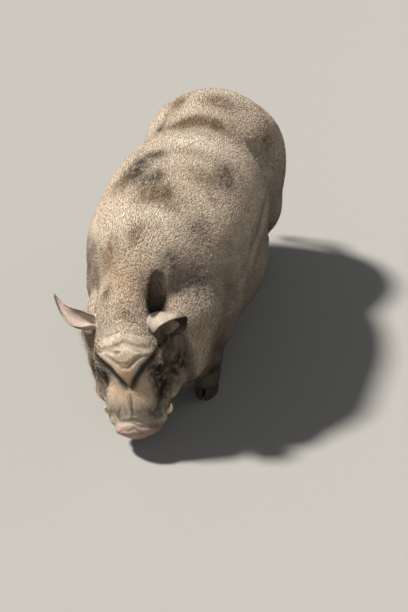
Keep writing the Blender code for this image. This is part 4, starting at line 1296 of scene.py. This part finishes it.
def tinted(tree, colour, other, share, blend="MIX"):
    """Mixes two colours, of which either may be a value or a socket."""
    made = add_node(tree, "ShaderNodeMix", {}, data_type="RGBA", blend_type=blend)
    for socket, value in ((made.inputs[0], share), (made.inputs[6], colour), (made.inputs[7], other)):
        if isinstance(value, bpy.types.NodeSocket):
            tree.links.new(value, socket)
        elif isinstance(value, float):
            socket.default_value = value
        else:
            socket.default_value = (*value, 1)
    return made.outputs[2]


def bumped(tree, height, depth, under=None):
    """A bump whose full height is so many metres."""
    inputs = {"Height": height, "Distance": depth, "Strength": 1.0}
    if under is not None:
        inputs["Normal"] = under
    return add_node(tree, "ShaderNodeBump", inputs).outputs["Normal"]


def set_shader(tree, shader, **inputs):
    for name, value in inputs.items():
        socket = shader.inputs[name.replace("_", " ")]
        if isinstance(value, bpy.types.NodeSocket):
            tree.links.new(value, socket)
        else:
            socket.default_value = value


print("material helpers ready")


# %% Hide
def hide_material():
    """Dry, dusty, wrinkled pigskin with a low sheen, moister on the snout's disc."""
    made, tree, shader = new_material("wrinkled dusty hide")
    colour = attribute(tree, "hide_colour", "Color")
    moist = attribute(tree, "moist", "Fac")
    speck = ranged(tree, cloudy(tree, (2.2, 3.5, 2.2)), 0.30, 0.70, 0.78, 1.20)
    colour = tinted(tree, colour, speck, 0.9, "MULTIPLY")
    vector = stretched(tree, (4.2, 7.5, 5.0))
    cracks = add_node(tree, "ShaderNodeTexVoronoi", {"Vector": vector, "Scale": 1.0},
                      feature="DISTANCE_TO_EDGE").outputs["Distance"]
    crack = ranged(tree, cracks, 0.0, 0.14, 0.0, 1.0)
    crack = tinted(tree, (1.0, 1.0, 1.0), crack, attribute(tree, "crackle", "Fac"))
    colour = tinted(tree, colour, ranged(tree, crack, 0.0, 1.0, 0.62, 1.0), 0.8, "MULTIPLY")
    lie = cloudy(tree, (1.3, 9.0, 2.2), 2.0)
    normal = bumped(tree, crack, 0.0009)
    normal = bumped(tree, lie, 0.0014, normal)
    normal = bumped(tree, cloudy(tree, (1.0, 1.0, 1.0)), 0.0004, normal)
    set_shader(tree, shader, Base_Color=colour, Normal=normal, Specular_IOR_Level=0.35,
               Roughness=ranged(tree, moist, 0.0, 1.0, 0.74, 0.42))
    return made


def eye_material():
    """A dark brown pig's eye under a wet cornea, its black pupil hardly parted from the iris."""
    made, tree, shader = new_material("wet brown eye")
    gaze = attribute(tree, "gaze", "Fac")
    fibres = ranged(tree, cloudy(tree, (0.5, 0.5, 2.0)), 0.3, 0.7, 0.0, 1.0)
    iris = tinted(tree, linear("#2E1B10"), linear("#5A3A20"), fibres)
    inside = tinted(tree, linear("#030202"), iris, ranged(tree, gaze, 0.26, 0.32, 0.0, 1.0))
    ball = tinted(tree, inside, linear("#1A100A"), ranged(tree, gaze, 0.66, 0.74, 0.0, 1.0))
    ball = tinted(tree, ball, linear("#7B6555"), ranged(tree, gaze, 0.82, 0.95, 0.0, 1.0))
    set_shader(tree, shader, Base_Color=ball, Roughness=0.06, Coat_Weight=1.0, Coat_Roughness=0.02)
    return made


def tusk_material():
    """Yellowed ivory with fine lines along it, stained brown where it leaves the lip."""
    made, tree, shader = new_material("stained tusk ivory")
    along = attribute(tree, "along", "Fac")
    streak = ranged(tree, cloudy(tree, (1.2, 1.2, 6.0)), 0.3, 0.7, 0.0, 1.0)
    ivory = tinted(tree, linear("#E9DCBD"), linear("#BFA477"), streak)
    stained = tinted(tree, linear("#7A5A38"), ivory, ranged(tree, along, 0.28, 0.62, 0.0, 1.0))
    set_shader(tree, shader, Base_Color=stained, Roughness=0.32, Coat_Weight=0.3,
               Normal=bumped(tree, cloudy(tree, (0.8, 0.8, 4.0)), 0.0003))
    return made


def horn_material():
    """Dark worn horn with growth rings, paler and dusty towards the sole."""
    made, tree, shader = new_material("worn claw horn")
    along = attribute(tree, "along", "Fac")
    streak = ranged(tree, cloudy(tree, (1.5, 1.5, 9.0)), 0.3, 0.7, 0.0, 1.0)
    horn = tinted(tree, linear("#2B2119"), linear("#4E4034"), streak)
    worn = tinted(tree, linear("#8C7C68"), horn, ranged(tree, along, 0.0, 0.45, 0.35, 1.0))
    set_shader(tree, shader, Base_Color=worn, Roughness=0.58,
               Normal=bumped(tree, cloudy(tree, (8.0, 8.0, 1.3), 1.0), 0.0005))
    return made


def bristle_material():
    """Stiff bristle with a little sheen, in the colour of the hide at its root."""
    made, tree, shader = new_material("pig bristle")
    set_shader(tree, shader, Base_Color=attribute(tree, "hide_colour", "Color"), Roughness=0.58,
               Specular_IOR_Level=0.3)
    return made


bristle = bristle_material()
hide, eye_wet, ivory, horn = hide_material(), eye_material(), tusk_material(), horn_material()
for made, material in [(skin, hide), (tail, hide), *((e, eye_wet) for e in eyes),
                       *((t, ivory) for t in tusks), *((c, horn) for c in claws)]:
    made.data.materials.clear()
    made.data.materials.append(material)
hand_over(tail, "tail_bristle", "tail")
print(len(bpy.data.materials), "materials")

# %% [markdown]
# The unwrap
#
# Every tuft gets its own small patch of a flat map of the skin, for its colour.
# Seams could be drawn by hand along the belly and the legs, which matters for painting, but nothing is
# painted here. The smart projection gives islands of nearly flat skin, and that is enough.

# %% Unwrap of the skin
on_all_faces(skin, bpy.ops.uv.smart_project, angle_limit=math.radians(66), island_margin=0.002)
skin.data.uv_layers[0].name = "OFBake"
skin_uv = read(skin.data.uv_layers[0].uv, "vector", 2)
print("unwrap reaches from", skin_uv.min(0).round(3), "to", skin_uv.max(0).round(3))

# %% [markdown]
# The coat
#
# A pot-bellied pig has no undercoat: stiff single bristles stand apart and the hide shows between them.
# A hair system would be the quick way, but its hairs aren't solids. So each tuft is a small closed
# three-sided blade, with its root sunk in the skin. Roots are spread evenly over the skin's triangles,
# and each blade lies along the animal, down its sides and legs and up its ears.

# %% Where tufts grow
SEED = 11
chance = np.random.default_rng(SEED)
# Blender's noise vectors follow the clock unless they are given a seed
noise.seed_set(SEED)
LIFT, STRAY_SHARE, STRAY_LIFT = 0.0017, 0.02, 2.2
ROOT_DEPTH, MOST_RAISED = 0.0009, 0.004
BODY_TUFT = (0.0043, 0.0092, 0.00060)


def legward(points):
    """1 on the legs and 0 elsewhere."""
    found = np.zeros(len(points))
    for x, y in ((FORE_X, FORE_Y), (HIND_X, HIND_Y)):
        gap = np.hypot(np.abs(points[:, 0] - offset.x) - x, points[:, 1] - offset.y - y)
        found = np.maximum(found, smooth(0.10, 0.06, gap) * smooth(0.20, 0.13, points[:, 2]))
    return found


def bare(points):
    """1 where no hair grows: the snout's disc, the nostrils, the eyes and the rims of the lids."""
    own = in_head_frame(points)
    found = smooth(-0.250, -0.258, own[:, 1]) * faceward(points)
    for _, side in SIDES:
        gap = np.linalg.norm(points - np.array(eye_frame(side) @ Vector((0, 0, 0.013))), axis=1)
        found = np.maximum(found, smooth(0.0135, 0.0115, gap))
    return np.maximum(found, smooth(CLAW_TOP + 0.004, CLAW_TOP, points[:, 2]))


def coat_at(points, ears):
    """The spacing, length and half width of the tufts at each point."""
    face, leg = faceward(points), legward(points)
    own = in_head_frame(points)
    cheek = face * smooth(0.045, 0.075, np.abs(own[:, 0])) * smooth(-0.215, -0.17, own[:, 1])
    jowl = smooth(-0.24, -0.30, points[:, 1]) * smooth(0.33, 0.24, points[:, 2]) * (1 - face)
    crest = smooth(0.06, 0.02, np.abs(points[:, 0] + 0.02)) * smooth(-0.02, -0.14, points[:, 1]) * (1 - face)
    spacing, length, half = (np.full(len(points), value) for value in BODY_TUFT)
    for share, new in ((crest, (0.0037, 0.0105, 0.00062)), (jowl, (0.0038, 0.0125, 0.00062)),
                       (leg, (0.0038, 0.0080, 0.00062)), (face, (0.0033, 0.0046, 0.00036)),
                       (cheek, (0.0032, 0.0125, 0.00052)), (ears, (0.0028, 0.0040, 0.00034))):
        spacing, length, half = (
            old + (value - old) * share for old, value in zip((spacing, length, half), new))
    return spacing, length, half


print("legs, ears, face and body each have their own tufts")


# %% The way the hair lies
def lie_of(points, normals, ears):
    """Back along the body and down its sides, back over the head, down the legs, out along the ears."""
    way = np.zeros_like(points)
    way[:, 1] = 1
    way[:, 2] = -0.85 * smooth(0.75, 0.0, normals[:, 2]) * smooth(-0.8, -0.2, normals[:, 2])
    own = in_head_frame(points)
    head = (smooth(0.10, 0.0, own[:, 1]) * smooth(-0.22, -0.32, points[:, 1]))[:, None]
    way = way * (1 - head) + HEAD_TURN[:, 1] * head
    leg = (legward(points) * (1 - head[:, 0]))[:, None]
    way = way * (1 - leg) + np.array((0, 0.15, -1)) * leg
    for ear, on_it in zip(EARS, ears):
        way[on_it] = np.array(ear.axis)
    swirl = np.array([noise.noise_vector(place) for place in points * 22])
    way = way + 0.20 * swirl + 0.15 * chance.normal(size=points.shape)
    way = way - (way * normals).sum(1)[:, None] * normals
    return way / np.maximum(np.linalg.norm(way, axis=1), 1e-6)[:, None]


print("the hair lies back and down")

# %% Spreading the roots
def triangles_of(mesh):
    flat = np.empty(len(mesh.loops), np.int32)
    mesh.loops.foreach_get("vertex_index", flat)
    return flat.reshape(-1, 3)


def spread_roots():
    """Roots evenly spread over the skin, with their normals, colours and places on the unwrap."""
    corners = triangles_of(skin.data)
    sides = points[corners]
    middles = sides.mean(1)
    areas = np.linalg.norm(np.cross(sides[:, 1] - sides[:, 0], sides[:, 2] - sides[:, 0]), axis=1) / 2
    ears = np.max([ear.holds(middles, BY_EAR) for ear in EARS], axis=0).astype(float)
    wanted = areas / coat_at(middles, ears)[0] ** 2 * (1 - bare(middles))
    total = np.cumsum(wanted)
    count = int(total[-1])
    picked = np.searchsorted(total, np.arange(count) + chance.random(count)).clip(0, len(corners) - 1)
    share = np.sqrt(chance.random(count))
    other = chance.random(count)
    weights = np.stack((1 - share, share * (1 - other), share * other), 1)[:, :, None]
    at_corners = [values[corners[picked]] for values in (points, normals, skin_colour)]
    at_corners.append(skin_uv.reshape(-1, 3, 2)[picked])
    roots, ups, colours, places = ((values * weights).sum(1) for values in at_corners)
    ups /= np.linalg.norm(ups, axis=1)[:, None]
    order = np.argsort(roots[:, 1])
    return roots[order], ups[order], colours[order], places[order]


points, normals = read(skin.data.vertices, "co"), read(skin.data.vertices, "normal")
roots, ups, root_colours, root_places = spread_roots()
print(len(roots), "roots")


# %% Blades
PATCH = 0.003


def blade_faces(rings):
    """The triangles of one closed three-sided blade with so many rings and a tip."""
    faces = [(1, 2, 0)]
    for a in range(0, 3 * (rings - 1), 3):
        faces += [(a + 1, a + 4, a + 5), (a + 1, a + 5, a + 2), (a + 2, a + 5, a + 3), (a + 2, a + 3, a),
                  (a, a + 3, a + 4), (a, a + 4, a + 1)]
    a, tip = 3 * (rings - 1), 3 * rings
    return np.array(faces + [(a + 1, tip, a + 2), (a + 2, tip, a), (a, tip, a + 1)])


def blades(name, lines, ups, halves, colours, places):
    """Closed blades along lines of points, darker at the root and paler at the tip."""
    count, rings = len(lines), lines.shape[1] - 1
    ways = lines[:, -1] - lines[:, 0]
    across = np.cross(ways, ups)
    across /= np.maximum(np.linalg.norm(across, axis=1), 1e-9)[:, None]
    size = 3 * rings + 1
    corners, tone, spots = np.empty((count, size, 3)), np.empty(size), np.zeros((size, 2))
    for k in range(rings):
        half = (halves * (1 - 0.5 * k / rings))[:, None]
        corners[:, 3 * k] = lines[:, k] - across * half
        corners[:, 3 * k + 1] = lines[:, k] + across * half
        corners[:, 3 * k + 2] = lines[:, k] + ups * half
        tone[3 * k:3 * k + 3] = 0.72 + 0.5 * k / rings
        spots[3 * k:3 * k + 3] = np.array(((-1, -1), (1, -1), (0, 1))) * PATCH / 2 * (1 - 0.7 * k / rings)
    corners[:, -1], tone[-1] = lines[:, -1], 1.2
    pattern = blade_faces(rings)
    faces = (np.arange(count)[:, None, None] * size + pattern).reshape(-1, 3)
    mesh = bpy.data.meshes.new(name)
    mesh.vertices.add(count * size)
    mesh.loops.add(len(faces) * 3)
    mesh.polygons.add(len(faces))
    write_points(mesh, corners)
    mesh.loops.foreach_set("vertex_index", faces.astype(np.int32).ravel())
    mesh.polygons.foreach_set("loop_start", np.arange(0, len(faces) * 3, 3, dtype=np.int32))
    mesh.update(calc_edges=True)
    store_colour(mesh, "hide_colour", (colours[:, None] * tone[None, :, None]).reshape(-1, 3))
    flat_map = (places[:, None] + spots[pattern.ravel()][None]).clip(0, 1)
    mesh.uv_layers.new(name="OFBake").uv.foreach_set("vector", flat_map.astype(np.float32).ravel())
    made = new_object(name, mesh)
    made.data.materials.append(bristle)
    hand_over(made, "hide")
    return made


print(len(blade_faces(2)), "triangles in a blade of the coat")

# %% Growing the coat
PIECE_TUFTS = 19000
TAN_TIP = linear("#C9AE8A")
ear_marks = [ear.holds(roots, BY_EAR) for ear in EARS]
ears_here = np.max(ear_marks, axis=0)
_, lengths, halves = coat_at(roots, ears_here.astype(float))
ways = lie_of(roots, ups, ear_marks)
lengths = lengths * chance.uniform(0.75, 1.3, len(roots))
lifts = LIFT * (lengths / BODY_TUFT[1]) ** 0.7 * chance.uniform(0.5, 1.3, len(roots))
stray = chance.random(len(roots)) < STRAY_SHARE
lifts[stray] *= STRAY_LIFT
lines = np.stack([
    roots - ROOT_DEPTH * ups,
    roots + ways * lengths[:, None] * 0.5 + ups * lifts[:, None] * 0.8,
    roots + ways * lengths[:, None] + ups * lifts[:, None],
], 1)
for k, share in ((1, 0.6), (2, 0.5)):
    lack = np.maximum(0, lifts * share - skin_distance(lines[:, k]))
    lines[:, k] += ups * np.where(ears_here, 0, np.minimum(lack, MOST_RAISED))[:, None]
tones = chance.uniform(0.40, 1.30, len(roots))
tan_share = (0.18 * (chance.random(len(roots)) < 0.35) * (1 - ears_here))[:, None]
tuft_colours = root_colours * tones[:, None] * (1 - tan_share) + TAN_TIP * tan_share
coat = []
for number, start in enumerate(range(0, len(roots), PIECE_TUFTS), 1):
    part_of = slice(start, start + PIECE_TUFTS)
    coat.append(blades(f"coat_{number}", lines[part_of], ups[part_of], halves[part_of],
                       tuft_colours[part_of], root_places[part_of]))
print(len(coat), "pieces of coat with", sum(len(made.data.polygons) for made in coat), "triangles")


# %% Whiskers and long bristles
def long_hairs(name, chosen, length, half, rise, hang, colour):
    """Long curved hairs from some of the roots, which rise from the skin and then hang."""
    count = int(chosen.sum())
    long = length * chance.uniform(0.6, 1.25, count)[:, None]
    way = ways[chosen] + 0.5 * chance.normal(size=(count, 3)) * (0.4, 0.4, 0.2)
    steps = [roots[chosen] - 0.001 * ups[chosen]]
    for k in range(1, 6):
        t = k / 5
        step = roots[chosen] + long * t * (way * (0.4 + 0.6 * t) + ups[chosen] * rise * (1.3 - t))
        steps.append(step - np.array((0, 0, 1)) * hang * long * t * t)
    shades = colour * chance.uniform(0.6, 1.35, count)[:, None]
    return blades(name, np.stack(steps, 1), ups[chosen], np.full(count, half), shades, root_places[chosen])


own_roots = in_head_frame(roots)
face = faceward(roots)
luck = chance.random(len(roots))
beside_snout = (face > 0.9) & (own_roots[:, 1] < -0.185) & (own_roots[:, 2] < 0.012)
on_cheeks = (face > 0.5) & (np.abs(own_roots[:, 0]) > 0.070) & (own_roots[:, 1] > -0.19)
on_brow = (face > 0.8) & (own_roots[:, 1] > -0.135) & (own_roots[:, 2] > 0.025)
on_brow &= np.abs(own_roots[:, 0]) > 0.050
at_jowl = (face < 0.5) & (roots[:, 1] < -0.27) & (roots[:, 2] < 0.24) & (roots[:, 2] > 0.12)
hairs = [
    long_hairs("snout_whiskers", beside_snout & (luck < 0.05), 0.034, 0.00026, 0.9, 0.35, linear("#D9C3A2")),
    long_hairs("cheek_bristles", on_cheeks & (luck < 0.10), 0.024, 0.00030, 0.7, 0.15, linear("#A98A66")),
    long_hairs("brow_bristles", on_brow & (luck < 0.04), 0.020, 0.00028, 0.9, 0.05, linear("#5A4634")),
    long_hairs("jowl_bristles", at_jowl & (luck < 0.05), 0.028, 0.00032, 0.5, 0.25, linear("#B3956F")),
]
print(sum(len(made.data.polygons) for made in hairs), "triangles of whiskers and bristles")


# %% Tail tuft
TUFT_COUNT, TUFT_LENGTH, TUFT_HALF = 420, 0.078, 0.0008


def tail_tuft():
    """Stiff dark bristles that fan out flat from the end of the tail."""
    count = TUFT_COUNT
    spot = chance.uniform(0.64, 1.0, count) * (TAIL_RINGS - 1)
    start = np.stack([np.interp(spot, range(TAIL_RINGS), tail_line[:, axis]) for axis in range(3)], 1)
    turn = chance.uniform(0, 2 * math.pi, count)
    out = np.stack((np.cos(turn), 0.45 * np.sin(turn), np.zeros(count)), 1)
    long = TUFT_LENGTH * chance.uniform(0.7, 1.1, count)[:, None]
    fan = out * chance.uniform(0.08, 0.30, count)[:, None]
    steps = [start + out * 0.002]
    for k in range(1, 6):
        t = k / 5
        steps.append(start + out * 0.006 + long * t * (fan * t**0.7 + np.array((0, 0, -1))))
    shades = linear("#4A3B2E") * chance.uniform(0.5, 1.9, count)[:, None]
    spots = chance.uniform(0.05, 0.95, (count, 2))
    return blades("tail_tuft", np.stack(steps, 1), out, np.full(count, TUFT_HALF), shades, spots)


tuft = tail_tuft()
print(len(tuft.data.polygons), "triangles in the tail's tuft")

# %% [markdown]
# Floor and light
#
# The pig stands on a plain pale floor. A photographer would light it with one big soft lamp on the side
# that the sun comes from in the photograph, high and to the pig's right, with weak ones opposite.
# A sun lamp with a wide angle does the same and leaves the floor evenly lit as far as it is seen.

# %% Floor
FLOOR_SIZE = 220
bpy.ops.object.select_all(action="DESELECT")
bpy.ops.mesh.primitive_plane_add(size=FLOOR_SIZE, location=(0, 0, 0))
floor = bpy.context.object
floor.name = floor.data.name = "studio_floor"
ground, tree, shader = new_material("pale studio floor")
set_shader(tree, shader, Base_Color=(*linear("#9C9993"), 1), Roughness=0.9)
floor.data.materials.append(ground)
print("floor", tuple(floor.dimensions))


# %% Lamps and sky
LAMP_DISTANCE, COOL_LIGHT, SKY_STRENGTH = 4.0, (0.96, 0.98, 1.0), 0.15


def lamp(name, kind, way, power, colour, size):
    """A lamp that faces the pig from one direction; its size is metres, or an angle for a sun."""
    place = AIM + Vector(way).normalized() * LAMP_DISTANCE
    bpy.ops.object.select_all(action="DESELECT")
    bpy.ops.object.light_add(type=kind, location=place)
    made = bpy.context.object
    made.name = name
    made.rotation_euler = (place - AIM).to_track_quat("Z", "Y").to_euler()
    made.data.energy, made.data.color = power, colour
    if kind == "SUN":
        made.data.angle = size
    else:
        made.data.shape, made.data.size = "SQUARE", size


lamp("key_lamp", "SUN", (-0.62, 0.02, 0.785), 6.4, (1.0, 0.98, 0.95), math.radians(7))
lamp("front_lamp", "AREA", (0.35, -0.90, 0.60), 12, COOL_LIGHT, 2.6)
lamp("rim_lamp", "AREA", (0.90, 0.70, 0.55), 16, COOL_LIGHT, 2.0)
sky = bpy.data.worlds.new("pale sky")
sky.use_nodes = True
sky.node_tree.nodes["Background"].inputs["Color"].default_value = (0.84, 0.88, 0.95, 1)
sky.node_tree.nodes["Background"].inputs["Strength"].default_value = SKY_STRENGTH
bpy.context.scene.world = sky
bpy.context.scene.view_settings.view_transform = "Standard"
print("three lamps and a pale sky")
